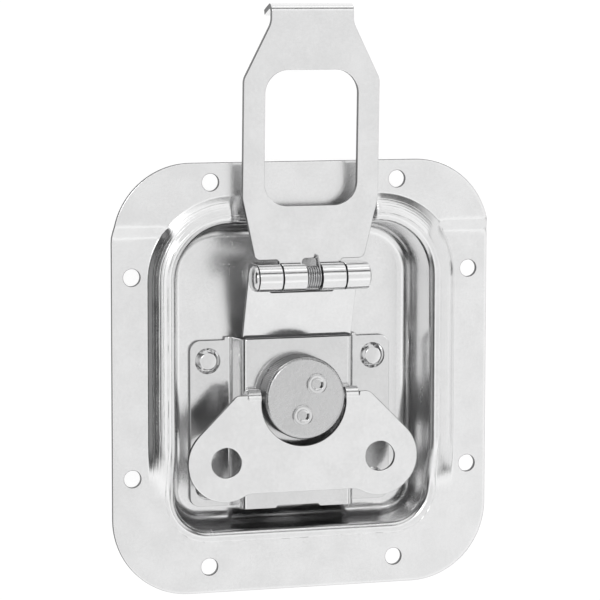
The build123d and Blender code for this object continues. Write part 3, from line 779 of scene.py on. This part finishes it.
def spring_tree():
    """A round wire wound into a coil; the input mesh's edges are its straight legs."""
    tree, link, entry, leave = node_tree("Coil spring", [
        ("Turns", "NodeSocketFloat", 5.36), ("Radius", "NodeSocketFloat", 0.0026),
        ("Length", "NodeSocketFloat", 0.0033), ("Wire", "NodeSocketFloat", 0.0003),
        ("Material", "NodeSocketMaterial", None)])
    coil = add_node(tree, "GeometryNodeCurveSpiral", {"Resolution": 40, "Reverse": False})
    section = add_node(tree, "GeometryNodeCurvePrimitiveCircle", {"Resolution": 14})
    legs = add_node(tree, "GeometryNodeMeshToCurve")
    joined = add_node(tree, "GeometryNodeJoinGeometry")
    skin = add_node(tree, "GeometryNodeCurveToMesh", {"Fill Caps": True})
    link(entry["Turns"], coil.inputs["Rotations"])
    for end in ("Start Radius", "End Radius"):
        link(entry["Radius"], coil.inputs[end])
    link(entry["Length"], coil.inputs["Height"])
    link(entry["Wire"], section.inputs["Radius"])
    link(entry["Geometry"], legs.inputs["Mesh"])
    link(coil.outputs["Curve"], joined.inputs["Geometry"])
    link(legs.outputs["Curve"], joined.inputs["Geometry"])
    link(joined.outputs["Geometry"], skin.inputs["Curve"])
    link(section.outputs["Curve"], skin.inputs["Profile Curve"])
    realized(tree, skin.outputs["Mesh"], entry, leave)
    return tree


# ---------------------------------------------------------------- the pressed dish

class DishForm:
    """The pressed sheet as rings round the pan's mouth; all sizes in mm."""
    CORNER_STATIONS = 40
    STATION_STEP = 0.9          # along the straight sides
    CREST_STEP = 0.2            # between rows over the crest
    LINE_WIDTH = 0.07           # of a line left by the press
    LINE_ROWS = (-0.2, -0.1, -0.05, 0, 0.05, 0.1, 0.2)      # rows across such a line
    CREST_LINE = 2.5            # from the mouth
    SIDE_LINES = ((3.6, 0.012), (4.4, 0.016), (5.1, 0.012), (5.9, 0.02))    # from the mouth, depth
    SWAY, SWAYS_PER_MM = 0.12, 0.45     # how far such a line wanders sideways
    FADE, FADES_PER_MM = 0.9, 1.3       # how much its depth comes and goes
    SWELL = 0.2                 # radians by which the bead's flank bulges
    FILLET_ROWS, WALL_ROWS, CREST_ROWS, FLANK_ROWS, FOOT_ROWS, FLANGE_ROWS = 9, 7, 12, 6, 7, 16
    LOWER_ROUND, LOWER_INSET = 0.12, 0.05       # of the flange's lower edge

    def __init__(self):
        self.sizes = settings("dish")
        low, high = box_mm("dish")
        self.half, self.top, self.bottom = high.x, high.y, low.y
        self.floor = low.z + self.sizes.sheet
        self.stations = self.mouth_stations()

    def mouth_stations(self):
        """Points and outward normals round the mouth, closer together in its corners."""
        s = self.sizes
        centres = []
        for side, end, radius in ((1, 1, s.top_corner), (-1, 1, s.top_corner),
                                  (-1, -1, s.bottom_corner), (1, -1, s.bottom_corner)):
            y = s.mouth_top - radius if end > 0 else s.mouth_bottom + radius
            centres.append((Vector((side * (s.mouth_half_width - radius), y)), radius))
        stations = []
        for index, (centre, radius) in enumerate(centres):
            for angle in np.radians(np.linspace(index * 90, index * 90 + 90, self.CORNER_STATIONS)):
                normal = polar(1, angle)
                stations.append((centre + normal * radius, normal))
            following, next_radius = centres[(index + 1) % len(centres)]
            begin, finish = centre + normal * radius, following + normal * next_radius
            count = int((finish - begin).length / self.STATION_STEP)
            stations += [(begin.lerp(finish, step / count), normal) for step in range(1, count)]
        return stations

    def face(self, y):
        """Front face of the flange at this height up the latch."""
        s = self.sizes
        return s.sheet + s.step * ease((y - s.step_start) / (s.step_end - s.step_start))

    def bead_share(self, point):
        """How much of the bead's height is left here: none beside the hasp and at the lower end."""
        s = self.sizes
        return min(ease((abs(point.x) - s.notch) / s.notch_run),
                   ease((point.y - s.fade_end) / (s.fade_start - s.fade_end)))

    def reach(self, point, normal, inset):
        """Distance from the mouth along a normal to a line this far inside the flange's edge."""
        corner = self.sizes.flange_corner
        straight = Vector((self.half - corner, (self.top - self.bottom) / 2 - corner))
        middle = Vector((0, (self.top + self.bottom) / 2))

        def inside(distance):
            place = point + normal * distance - middle
            outside = Vector((max(abs(place.x) - straight.x, 0), max(abs(place.y) - straight.y, 0)))
            return outside.length <= corner - inset
        return bisected(inside, 0, self.half)

    def section(self, point, normal, inset, edge):
        """One cut through the sheet's surface, from the floor's rim to the flange's edge: (distance, z).

        Past the bead's foot, z follows the flange's face and is given as None.
        """
        s = self.sizes
        share = self.bead_share(point)
        level = self.face((point + normal * s.bead_foot).y)
        foot = s.bead_foot + (s.bead_high_foot - s.bead_foot) * (level - s.sheet) / s.step
        crest_z = level + (s.bead_top - level) * share - s.lip
        lean = math.cos(s.draft)
        radius = s.lip - inset

        def wall(z):
            return inset / lean - (s.sheet + s.step - z) * math.tan(s.draft)
        centre = wall(crest_z) + radius / lean
        # From the pan's floor up its wall and round to the crest
        fillet = s.floor_fillet + inset
        fillet_z = self.floor - inset + fillet
        hollow = Vector((wall(fillet_z) - fillet / lean, fillet_z))
        cuts = [hollow + polar(fillet, angle)
                for angle in np.linspace(-math.pi / 2, -s.draft, self.FILLET_ROWS)]
        round_start = crest_z + radius * math.sin(s.draft)
        cuts += [(wall(z), z) for z in np.linspace(cuts[-1].y, round_start, self.WALL_ROWS)[1:-1]]
        cuts += [Vector((centre, crest_z)) + polar(radius, angle)
                 for angle in np.linspace(math.pi - s.draft, math.pi / 2, self.CREST_ROWS)]
        # Over the crest and down the flank
        low_turn, high_turn, broad = self.flank(foot - centre, (s.bead_top - level) * share, share)
        shoulder = centre + radius * math.sin(low_turn)
        broad_x = centre - (broad - s.lip) * math.sin(low_turn)
        broad_z = crest_z - (broad - s.lip) * math.cos(low_turn)
        end = foot - inset * math.tan(high_turn / 2)
        soft_start, soft_end = end - s.foot_round, end + s.foot_round

        def flank_z(distance):
            return broad_z + math.sqrt((broad - inset) ** 2 - (distance - broad_x) ** 2)
        foot_rise = flank_z(soft_start) - level + inset
        lines = [] if inset else self.press_lines(point, share)
        crest_rows = [centre + self.CREST_STEP * step for step in range(1, 11)]
        distances = [*crest_rows, *np.linspace(crest_rows[-1], soft_start, self.FLANK_ROWS)[1:],
                     *np.linspace(soft_start, soft_end, self.FOOT_ROWS)[1:],
                     *(line + row for line, _ in lines for row in self.LINE_ROWS)]
        for distance in sorted(distances):
            if distance < shoulder:
                z = crest_z + math.sqrt(radius ** 2 - (distance - centre) ** 2)
            elif distance < soft_start:
                z = flank_z(distance)
            else:
                z = level - inset + foot_rise * ((soft_end - distance) / (2 * s.foot_round)) ** 2
            cuts.append((distance, z - sum(depth * math.exp(-((distance - line) / self.LINE_WIDTH) ** 2)
                                           for line, depth in lines)))
        return cuts + [(distance, None) for distance in np.linspace(soft_end, edge, self.FLANGE_ROWS)[1:]]

    def press_lines(self, point, share):
        """Where the tool's edges have left fine lines in the bead here, and how deep."""
        spot = point.to_3d()
        lines = [(self.CREST_LINE, self.sizes.die_mark)]
        lines += [(at, depth * share) for at, depth in self.SIDE_LINES]
        uneven = []
        for at, depth in lines:
            sway = noise.noise(spot * self.SWAYS_PER_MM + Vector((0, 0, at)))
            fade = noise.noise(spot * self.FADES_PER_MM + Vector((0, 0, 3 * at)))
            uneven.append((at + self.SWAY * sway, depth * (1 + self.FADE * fade)))
        return uneven

    def flank(self, run, drop, share):
        """Slopes of the bead's flank at its shoulder and its foot, and the radius of its swell."""
        lip, spread = self.sizes.lip, self.SWELL * share + 0.001
        low_turn = 0.0
        for _ in range(12):
            across, down = run - lip * math.sin(low_turn), drop - lip * (1 - math.cos(low_turn))
            middle = math.atan2(down, across)
            low_turn = max(middle - spread, 0)
        high_turn = 2 * middle - low_turn
        turn = max(high_turn - low_turn, 1e-4)
        return low_turn, high_turn, math.hypot(across, down) / (2 * math.sin(turn / 2))

    def surface(self, shape, inset, rim):
        """Adds one surface of the sheet; returns its outer ring of vertices."""
        s = self.sizes
        columns = []
        for point, normal in self.stations:
            edge = self.reach(point, normal, rim)
            level = self.face((point + normal * s.bead_foot).y)
            column = []
            for distance, z in self.section(point, normal, inset, edge):
                place = point + normal * distance
                if z is None:
                    z = self.face(place.y) - inset
                elif distance > s.bead_foot:
                    z += self.face(place.y) - level
                column.append(shape.verts.new((place.x, place.y, z)))
            columns.append(column)
        for column, following in zip(columns, columns[1:] + columns[:1]):
            for row in range(len(column) - 1):
                shape.faces.new((column[row], column[row + 1], following[row + 1], following[row]))
        shape.faces.new([column[0] for column in columns])
        return [column[-1] for column in columns]

    def build(self):
        """The closed sheet with a rounded rim."""
        sheet, rounding = self.sizes.sheet, self.sizes.rim_round
        shape = bmesh.new()
        front = self.surface(shape, 0, rounding)
        back = self.surface(shape, sheet, self.LOWER_INSET)
        rows = [front]
        for depth, rim in ((0.3 * rounding, 0.3 * rounding), (rounding, 0), (sheet - self.LOWER_ROUND, 0)):
            places = [point + normal * self.reach(point, normal, rim) for point, normal in self.stations]
            rows.append([shape.verts.new((x, y, self.face(y) - depth)) for x, y in places])
        rows.append(back)
        for upper, lower in zip(rows, rows[1:]):
            for index in range(len(upper)):
                following = (index + 1) % len(upper)
                face = shape.faces.new((upper[index], lower[index], lower[following], upper[following]))
                # the rim's cut face and the back take the dark edge finish, partly painted shade
                face.material_index = 0 if upper is front else DULL_SHADED_EDGES
        bmesh.ops.recalc_face_normals(shape, faces=shape.faces)
        return shape


def pierced(shape, holes, below, above):
    """Cuts round holes with slightly broken edges into a sheet: holes are (x, y, radius, front z)."""
    edge = settings("dish").hole_edge
    cutters = bmesh.new()
    for x, y, radius, front in holes:
        cutter = lathe([(0, below), (radius, below), (radius, front + PLAY - edge),
                        (radius + edge, front + PLAY), (radius + edge, above), (0, above)], HOLE_STEPS)
        # the hole walls take the dark edge finish, partly painted shade
        for face in cutter.faces:
            face.material_index = DULL_SHADED_EDGES
        placed(cutter, Matrix.Translation((x, y, 0)))
        add_mesh(cutters, mesh_of(cutter, "cutter"))
    sheet = linked("sheet", mesh_of(shape, "sheet"))
    tool = linked("cutters", mesh_of(cutters, "cutters"))
    for item in (sheet, tool):
        for _ in range(DULL_SHADED_EDGES + 1):
            item.data.materials.append(None)
    cut = sheet.modifiers.new("cut", "BOOLEAN")
    cut.operation = "DIFFERENCE"
    cut.solver = "EXACT"
    cut.object = tool
    shape = add_mesh(bmesh.new(), evaluated_mesh(sheet))
    bpy.data.objects.remove(tool)
    return shape


# ---------------------------------------------------------------- pieces

RIVETS = ("rivet_upper_left", "rivet_lower_left", "rivet_upper_right", "rivet_lower_right")
STUDS = ("drum_stud_upper", "drum_stud_lower")


def box_mm(name):
    """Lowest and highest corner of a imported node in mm."""
    return [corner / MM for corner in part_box(name)]


def middle_mm(name):
    """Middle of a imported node's box in mm."""
    low, high = box_mm(name)
    return (low + high) / 2


def axis_y():
    """The drum's axis along the latch in mm."""
    return middle_mm("drum").y


class LATCH_OT_dish(bpy.types.Operator):
    """Build the pressed dish with its bead, step and screw holes"""
    bl_idname = "latch.dish"
    bl_label = "Dish"

    def execute(self, context):
        sizes, form = settings("dish"), DishForm()
        screws = [(side * (form.half - sizes.side_hole_inset), end * sizes.side_hole_y)
                  for side in (-1, 1) for end in (-1, 1)]
        screws += [(side * sizes.end_hole_x, y) for side in (-1, 1)
                   for y in (form.top - sizes.top_hole_inset, form.bottom + sizes.bottom_hole_inset)]
        screws = [(x, y, sizes.screw_hole, form.face(y)) for x, y in screws]
        bore = settings("bracket").rivet_shank + SNUG
        rivets = [(*middle_mm(name).to_2d(), bore, form.floor) for name in RIVETS]
        below = form.floor - sizes.sheet - 1
        shape = pierced(form.build(), screws, below, sizes.bead_top + 1)
        shape = pierced(shape, rivets, below, form.floor + 1)
        finished("pressed_dish", [shape], "bright_zinc_dish", "dish_body", ["dish"])
        return {"FINISHED"}


class LATCH_OT_bracket(bpy.types.Operator):
    """Build the hat-section bracket over the cam"""
    bl_idname = "latch.bracket"
    bl_label = "Bracket"

    def execute(self, context):
        sizes = settings("bracket")
        low, high = box_mm("bracket")
        ear, roof = low.z + sizes.sheet / 2, high.z - sizes.sheet / 2
        foot, side = sizes.wall_foot, sizes.wall_top
        path = folded_through([(-high.x, ear), (-foot, ear), (-side, roof), (side, roof), (foot, ear),
                               (high.x, ear)], sizes.bend)
        middle = path.length / 2
        inner = middle - (high.x - foot - sizes.setback_start)
        top = high.y - sizes.setback
        right = [(sizes.notch - sizes.notch_depth, low.y + sizes.notch_depth, 0.3),
                 (sizes.notch, low.y, sizes.notch_corner), (middle, low.y, sizes.corner),
                 (middle, top, sizes.corner), (inner, top, 0.3), (inner, high.y, 0.3)]
        outline = round_corners([(middle + x, y, radius) for x, y, radius in mirrored(right)])
        neck = circle(middle, axis_y(), sizes.neck_hole)
        blank = punched_plate([outline, neck], sizes.sheet, sizes.edge)
        shape = fold(blank, path, lambda point, y: (point.x, y, point.y))
        finished("hat_bracket", [shape], "bright_zinc_bracket", "dish_body", ["bracket"],
                 FLAT_SHARP)
        return {"FINISHED"}


class LATCH_OT_rivets(bpy.types.Operator):
    """Build the four rivets with their flat-topped heads"""
    bl_idname = "latch.rivets"
    bl_label = "Rivets"

    def execute(self, context):
        sizes = settings("bracket")
        low, high = box_mm(RIVETS[0])
        tail, head = low.z + SNUG, high.z
        ear = head - sizes.rivet_head
        shank, base, crown = sizes.rivet_shank, sizes.rivet_base, sizes.rivet_top
        shape = lathe([(0, tail), (shank - 0.2, tail), (shank, tail + 0.2), (shank, ear), (base, ear),
                       (base - 0.03, ear + 0.05), (crown + 0.1, head - 0.08), (crown, head - 0.02),
                       (crown - 0.14, head), (0, head - 0.02)], ROUND_STEPS)
        bmesh.ops.scale(shape, vec=(MM, MM, MM), verts=shape.verts)
        places = [middle_mm(name) * MM for name in RIVETS]
        lowest, highest = [Vector([pick(values) for values in zip(*places)]) for pick in (min, max)]
        rivets = grown(rivet_grid_tree(), mesh_of(shape, "rivet"),
                       {"Spacing X": highest.x - lowest.x, "Spacing Y": highest.y - lowest.y,
                        "Material": plated_steel("bright_zinc_rivets")})
        rivets.transform(Matrix.Translation((0, (lowest.y + highest.y) / 2, 0)))
        smooth(rivets, TURNED_SHARP)
        tied("bracket_rivets", rivets, "dish_body", RIVETS)
        return {"FINISHED"}


class LATCH_OT_drum(bpy.types.Operator):
    """Build the turning drum, its knurl and its spun studs"""
    bl_idname = "latch.drum"
    bl_label = "Drum"

    def execute(self, context):
        sizes = settings("drum")
        low, high = box_mm("drum")
        skirt, rim = low.z + sizes.neck_length, high.z - sizes.rim
        barrel = high.x - sizes.knurl
        profile = [(0, low.z), (sizes.neck, low.z), (sizes.neck, skirt), (barrel - 0.3, skirt),
                   (barrel, skirt + 0.3), (barrel, rim - 0.1),
                   *arc_points((barrel - sizes.rim, rim), sizes.rim, 0, 90), (high.x * 0.6, high.z),
                   (0, high.z)]
        drum = placed(lathe(profile), Matrix.Translation((0, axis_y(), 0)))
        finished("turning_drum", [drum], "bright_zinc_drum", "rotor", ["drum"])
        studs = [self.stud(sizes, high.z - 1, name) for name in STUDS]
        finished("drum_studs", studs, "bright_zinc_studs", "rotor", STUDS)
        self.knurl(sizes, barrel, skirt + 0.5, rim - 0.1)
        return {"FINISHED"}

    @staticmethod
    def stud(sizes, foot, name):
        """A stud with a groove inside its edge and a spun dimple."""
        low, high = box_mm(name)
        head, top, edge = (high.x - low.x) / 2, high.z, sizes.stud_edge
        ball = top - sizes.stud_dimple + sizes.dimple_radius
        profile = [(0, foot), (head, foot), (head, top - edge), (head - 0.3 * edge, top - 0.3 * edge),
                   (head - 0.8 * edge, top), (head - 1.4 * edge, top - edge), (head - 2 * edge, top - edge),
                   (head - 2.5 * edge, top), *arc_points((sizes.dimple_lip, top - edge), edge, 90, 130, 3),
                   *arc_points((0, ball), sizes.dimple_radius, -39, -90, 10)]
        middle = middle_mm(name)
        return placed(lathe(profile, ROUND_STEPS), Matrix.Translation((middle.x, middle.y, 0)))

    @staticmethod
    def knurl(sizes, barrel, bottom, top):
        """Straight ridges round the drum, in the dark edge finish that paints the knurled wall's shade."""
        ridge = bmesh.new()
        bmesh.ops.create_cone(ridge, cap_ends=True, segments=8, radius1=sizes.tooth * MM,
                              radius2=sizes.tooth * MM, depth=(top - bottom) * MM)
        bmesh.ops.translate(ridge, vec=(0, 0, (bottom + top) / 2 * MM), verts=ridge.verts)
        knurl = grown(knurl_tree(), mesh_of(ridge, "tooth"),
                      # the teeth take the dark edge colour as painted shade of the knurled wall
                      {"Count": sizes.teeth, "Radius": (barrel - SNUG) * MM, "Material": dull_and_shaded_zinc()})
        knurl.transform(Matrix.Translation((0, axis_y() * MM, 0)))
        smooth(knurl, KNURL_SHARP)
        tied("drum_knurl", knurl, "rotor", [])


class LATCH_OT_handle(bpy.types.Operator):
    """Build the butterfly handle with its rolled eyes"""
    bl_idname = "latch.handle"
    bl_label = "Handle"

    def execute(self, context):
        sizes = settings("handle")
        low, high = box_mm("handle")
        tip = Vector((high.x - sizes.wing, low.y + sizes.wing))
        holes = [circle(side * tip.x, tip.y, sizes.finger_hole) for side in (-1, 1)]
        plate = punched_plate([self.outline(sizes, tip), *holes], sizes.sheet, sizes.edge)
        shapes = [placed(plate, Matrix.Translation((0, 0, high.z - sizes.sheet / 2)))]
        bore, eye, chamfer = sizes.eye_bore, sizes.eye, sizes.eye_chamfer
        inner, outer = sizes.eye_inner, sizes.eye_outer
        profile = [(bore, inner), (eye - chamfer, inner), (eye, inner + chamfer), (eye, outer - chamfer),
                   (eye - chamfer, outer), (bore, outer)]
        for side in (-1, 1):
            turn = Matrix.Rotation(side * math.pi / 2, 4, "Y")
            shapes.append(placed(ring(profile, 48), Matrix.Translation((0, axis_y(), high.z - eye)) @ turn))
        finished("butterfly_handle", shapes, "bright_zinc_handle", "wing", ["handle"],
                 FLAT_SHARP)
        return {"FINISHED"}

    @staticmethod
    def outline(sizes, tip):
        """Two wings with round tips, a waist between them and a cut-out round the drum."""
        blend, top, cutout, drop = sizes.waist_blend, sizes.top, sizes.cutout, sizes.cutout_drop
        reach = math.sqrt((sizes.wing + blend) ** 2 - (tip.y - sizes.waist + blend) ** 2)
        joint = Vector((tip.x - reach, sizes.waist - blend))
        tip_angle = math.atan2(joint.y - tip.y, -reach)
        right = [joint + polar(blend, a) for a in np.linspace(math.pi / 2, tip_angle + math.pi, 10)]
        right += [tip + polar(sizes.wing, a) for a in np.linspace(tip_angle, math.pi / 4, 44)[1:]]
        x, y = right[-1]
        right += round_corners([(x, y, 0), (x + y - top, top, sizes.top_corner),
                                (sizes.eye_outer, top, 0.3), (sizes.eye_outer, axis_y(), 0.3),
                                (math.sqrt(cutout ** 2 - drop ** 2), axis_y(), 0)])[1:]
        centre = Vector((0, axis_y() - drop))
        start = right[-1] - centre
        angle = math.atan2(start.y, start.x)
        saddle = [centre + polar(cutout, a) for a in np.linspace(angle, -math.pi - angle, 44)[1:-1]]
        return right + saddle + [Vector((-x, y)) for x, y in reversed(right)]


class LATCH_OT_leaf(bpy.types.Operator):
    """Build the sliding leaf with its rolled outer knuckles"""
    bl_idname = "latch.leaf"
    bl_label = "Sliding leaf"

    def execute(self, context):
        sizes, hasp, hinge = settings("leaf"), settings("hasp"), settings("hinge")
        low, high = box_mm("sliding_leaf")
        curl = hinge.knuckle - hasp.sheet / 2
        wall, rise = hinge.axis_y + curl, math.tan(sizes.slope)
        bend_y = sizes.exit_y + (sizes.flat - sizes.exit_z) / rise
        path = folded_through([(low.y, sizes.flat), (bend_y, sizes.flat),
                               (wall, sizes.exit_z + (wall - sizes.exit_y) * rise), (wall, hinge.axis_z)],
                              sizes.bend)
        path.bend(curl, hinge.curl)
        shoulder, end = sizes.shoulder - low.y, path.length
        gap = bisected(lambda along: path.at(along)[0].x < sizes.gap, 0, path.pieces[-2][0])
        half = [(sizes.guided, 0, 1.5), (sizes.guided, shoulder, 0.4), (high.x, shoulder, 0.8),
                (high.x, end, 0.1), (sizes.joint, end, 0.1), (sizes.joint, gap, 0.6)]
        window = sizes.window_middle - low.y
        blank = punched_plate([swapped(round_corners(mirrored(half))),
                               rounded_rectangle(window - sizes.window_reach, window + sizes.window_reach,
                                                 -sizes.window_half, sizes.window_half, 1)],
                              hasp.sheet, hasp.edge)
        shape = fold(blank, path, lambda point, x: (-x, point.x, point.y))
        finished("sliding_leaf_plate", [shape], "bright_zinc_leaf", "slider", ["sliding_leaf"],
                 FLAT_SHARP)
        return {"FINISHED"}


class LATCH_OT_hasp(bpy.types.Operator):
    """Build the hasp plate with its window, rolled knuckles and hook"""
    bl_idname = "latch.hasp"
    bl_label = "Hasp"

    def execute(self, context):
        sizes, hinge = settings("hasp"), settings("hinge")
        curl = hinge.knuckle - sizes.sheet / 2
        begin = 1.5 * math.pi - hinge.curl
        path = FoldPath(polar(curl, begin), begin + math.pi / 2).bend(curl, hinge.curl)
        flat = path.length
        path.run(sizes.length).bend(sizes.hook_bend, -sizes.hook_angle).run(sizes.hook_lip)
        foot = flat + sizes.foot
        half = [(sizes.spring_gap, flat + sizes.spring_slot, 0.9), (sizes.spring_gap, 0, 0.2),
                (sizes.joint, 0, 0.2), (sizes.joint, foot, 0.9), (sizes.foot_half, foot, 1.8),
                (sizes.wide_half, flat + sizes.wide_low, 6), (sizes.wide_half, flat + sizes.wide_high, 4),
                (sizes.neck_half, flat + sizes.neck, 5), (sizes.neck_half, path.length, 0.8)]
        window = rounded_rectangle(-sizes.window_half, sizes.window_half, flat + sizes.window_low,
                                   flat + sizes.window_high, sizes.window_corner)
        blank = punched_plate([swapped(round_corners(mirrored(half))), swapped(window)], sizes.sheet,
                              sizes.edge)
        turn = Matrix.Rotation(sizes.tilt, 2)
        centre = Vector((hinge.axis_y, hinge.axis_z))
        shape = fold(blank, path, lambda point, x: (-x, *(turn @ point + centre)))
        finished("hasp_plate", [shape], "bright_zinc_hasp", "hasp_body", ["hasp"], FLAT_SHARP)
        return {"FINISHED"}


class LATCH_OT_hinge(bpy.types.Operator):
    """Build the hinge pin and the torsion spring"""
    bl_idname = "latch.hinge"
    bl_label = "Hinge pin and spring"

    def execute(self, context):
        hinge = settings("hinge")
        low, high = box_mm("hinge_pin")
        left, right, pin, head = low.x, high.x, hinge.pin, hinge.pin_head
        end = -left - hinge.head_length
        profile = [(0, left), (head - 1.9, left + 0.1), (head - 0.9, left + 0.4),
                   (head - 0.3, left + 0.8), (head, left + 1.3), (head, -end - 0.3),
                   (head - 0.15, -end - 0.2), (head - 0.5, -end - 0.2), (pin, -end - SNUG),
                   (pin, end + PLAY), (pin + 0.75, end + PLAY), (pin + 0.8, end + 0.25),
                   (pin + 0.55, end + 0.45), (pin + 0.05, right - 0.1), (0, right)]
        turn = Matrix.Translation((0, hinge.axis_y, hinge.axis_z)) @ Matrix.Rotation(math.pi / 2, 4, "Y")
        shape = placed(lathe(profile, ROUND_STEPS), turn)
        finished("hinge_pin_turned", [shape], "bright_zinc_pin", "slider", ["hinge_pin"],
                 KNURL_SHARP)
        self.spring(hinge)
        return {"FINISHED"}

    @staticmethod
    def spring(hinge):
        """A coil round the pin with a straight leg at each end."""
        length, angle = hinge.pitch * hinge.turns, FULL_TURN * hinge.turns
        start, stop = Vector((hinge.coil, 0, 0)), Vector((*polar(hinge.coil, -angle), length))
        legs = bpy.data.meshes.new("legs")
        ends = [start, start + Vector((0, hinge.leg, 0)), stop,
                stop + polar(hinge.leg, -angle - math.pi / 2).to_3d()]
        legs.from_pydata([end * MM for end in ends], [(0, 1), (2, 3)], [])
        coil = grown(spring_tree(), legs, {
            "Turns": hinge.turns, "Radius": hinge.coil * MM, "Length": length * MM, "Wire": hinge.wire * MM,
            "Material": plated_steel("spring_wire")})
        coil.transform(Matrix(((0, 0, 1, -length / 2 * MM), (-1, 0, 0, hinge.axis_y * MM),
                               (0, -1, 0, hinge.axis_z * MM), (0, 0, 0, 1))))
        smooth(coil, WIRE_SHARP)
        tied("torsion_spring", coil, "slider", ["hinge_spring"])


class LATCH_OT_inner(bpy.types.Operator):
    """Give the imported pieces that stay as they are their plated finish"""
    bl_idname = "latch.inner"
    bl_label = "Washer, cam and pin"

    def execute(self, context):
        for name in ("friction_washer", "cam", "handle_pin"):
            material = plated_steel("bright_zinc_" + name)
            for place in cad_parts[name].material_slots:
                place.material = material
        return {"FINISHED"}


# ---------------------------------------------------------------- studio

FLOOR_HALF = 3.0
FLOOR_DROP = 0.0003         # from the latch's lowest point
SENSOR = 36                 # mm
# place in metres, width, depth, watts
LIGHTS = {"overhead": ((-0.5, 0.5, 1.1), 0.4, 0.4, 1.5), "far_card": ((0.1, 1.0, 0.3), 0.8, 0.15, 0.25)}
# rise of the direction, from 0 at the horizon and below it to 1 straight up, and brightness
SKY = ((0.0, 0.2), (0.1, 0.04), (0.7, 0.05), (0.79, 1.15), (0.87, 1.1), (0.94, 0.87), (1.0, 0.87))
# axis, where a bright window begins and where it is full along that axis, brightness
WINDOWS = (("Y", -0.4, -0.6, 0.95), ("Y", 0.7, 0.78, 0.85), ("X", 0.6, 0.8, 0.9), ("X", -0.8, -0.95, 0.3))


class LATCH_OT_stage(bpy.types.Operator):
    """Set the floor, the studio light and the camera"""
    bl_idname = "latch.stage"
    bl_label = "Studio"

    def execute(self, context):
        stage = settings("stage")
        scene = context.scene
        low, high = cad_bounds
        self.floor(stage, low.z - FLOOR_DROP)
        self.sky(scene)
        for name, (place, width, depth, power) in LIGHTS.items():
            data = bpy.data.lights.new(name, "AREA")
            data.shape = "RECTANGLE"
            data.size, data.size_y, data.energy = width, depth, power
            light = linked(name, data)
            light.location = place
            light.rotation_euler = (Vector(place) - (low + high) / 2).to_track_quat("Z", "Y").to_euler()
        data = bpy.data.cameras.new("camera")
        data.lens = stage.camera_lens
        data.sensor_width = SENSOR
        camera = linked("camera", data)
        camera.location = stage.camera_place
        camera.rotation_euler = stage.camera_turn
        scene.camera = camera
        scene.view_settings.view_transform = "Standard"
        return {"FINISHED"}

    @staticmethod
    def floor(stage, z):
        """A pale floor that gives some light of its own."""
        mesh = bpy.data.meshes.new("floor")
        corners = ((-1, -1), (1, -1), (1, 1), (-1, 1))
        mesh.from_pydata([(x * FLOOR_HALF, y * FLOOR_HALF, z) for x, y in corners], [], [(0, 1, 2, 3)])
        pale = bpy.data.materials.new("pale_floor")
        pale.use_nodes = True
        shader = pale.node_tree.nodes["Principled BSDF"]
        shader.inputs["Base Color"].default_value = (*stage.floor, 1)
        shader.inputs["Roughness"].default_value = 0.9
        shader.inputs["Emission Color"].default_value = (1, 1, 1, 1)
        shader.inputs["Emission Strength"].default_value = stage.floor_glow
        mesh.materials.append(pale)
        linked("floor", mesh)

    @staticmethod
    def sky(scene):
        """A bright studio overhead with a dark band all round, broken by windows on four sides."""
        world = bpy.data.worlds.new("studio")
        scene.world = world
        world.use_nodes = True
        tree = world.node_tree
        link = tree.links.new
        place = add_node(tree, "ShaderNodeTexCoord")
        split = add_node(tree, "ShaderNodeSeparateXYZ")
        ramp = add_node(tree, "ShaderNodeValToRGB")
        ramp.color_ramp.interpolation = "EASE"
        while len(ramp.color_ramp.elements) < len(SKY):
            ramp.color_ramp.elements.new(0.5)
        for element, (position, level) in zip(ramp.color_ramp.elements, SKY):
            element.position = position
            element.color = (level, level, level, 1)
        link(place.outputs["Generated"], split.inputs["Vector"])
        link(split.outputs["Z"], ramp.inputs["Fac"])
        brightest = ramp.outputs["Color"]
        for axis, dark, bright, level in WINDOWS:
            window = add_node(tree, "ShaderNodeMapRange", {
                "From Min": dark, "From Max": bright, "To Max": level}, interpolation_type="SMOOTHSTEP")
            lighter = add_node(tree, "ShaderNodeMath", operation="MAXIMUM")
            link(split.outputs[axis], window.inputs["Value"])
            link(window.outputs["Result"], lighter.inputs[0])
            link(brightest, lighter.inputs[1])
            brightest = lighter.outputs[0]
        link(brightest, tree.nodes["Background"].inputs["Color"])


class LATCH_PT_panel(bpy.types.Panel):
    """Settings and builders of the case latch"""
    bl_idname = "LATCH_PT_panel"
    bl_label = "Case Latch"
    bl_space_type = "VIEW_3D"
    bl_region_type = "UI"
    bl_category = "Case Latch"

    def draw(self, context):
        layout = self.layout
        for name, group in GROUPS.items():
            box = layout.box()
            box.label(text=name.capitalize())
            for setting in group.__annotations__:
                box.prop(settings(name), setting)
        for operator in OPERATORS:
            layout.operator(operator.bl_idname)


OPERATORS = (LATCH_OT_dish, LATCH_OT_bracket, LATCH_OT_rivets, LATCH_OT_drum, LATCH_OT_handle,
             LATCH_OT_leaf, LATCH_OT_hasp, LATCH_OT_hinge, LATCH_OT_inner, LATCH_OT_stage)


def register():
    for group in GROUPS.values():
        bpy.utils.register_class(group)
    for operator in OPERATORS:
        bpy.utils.register_class(operator)
    bpy.utils.register_class(LATCH_PT_panel)
    for name, group in GROUPS.items():
        setattr(bpy.types.Scene, "latch_" + name, bpy.props.PointerProperty(type=group))


def unregister():
    for name in GROUPS:
        delattr(bpy.types.Scene, "latch_" + name)
    bpy.utils.unregister_class(LATCH_PT_panel)
    for operator in reversed(OPERATORS):
        bpy.utils.unregister_class(operator)
    for group in GROUPS.values():
        bpy.utils.unregister_class(group)


def main():
    register()
    for operator in OPERATORS:
        family, name = operator.bl_idname.split(".")
        getattr(getattr(bpy.ops, family), name)()


if __name__ == "__main__":
    main()
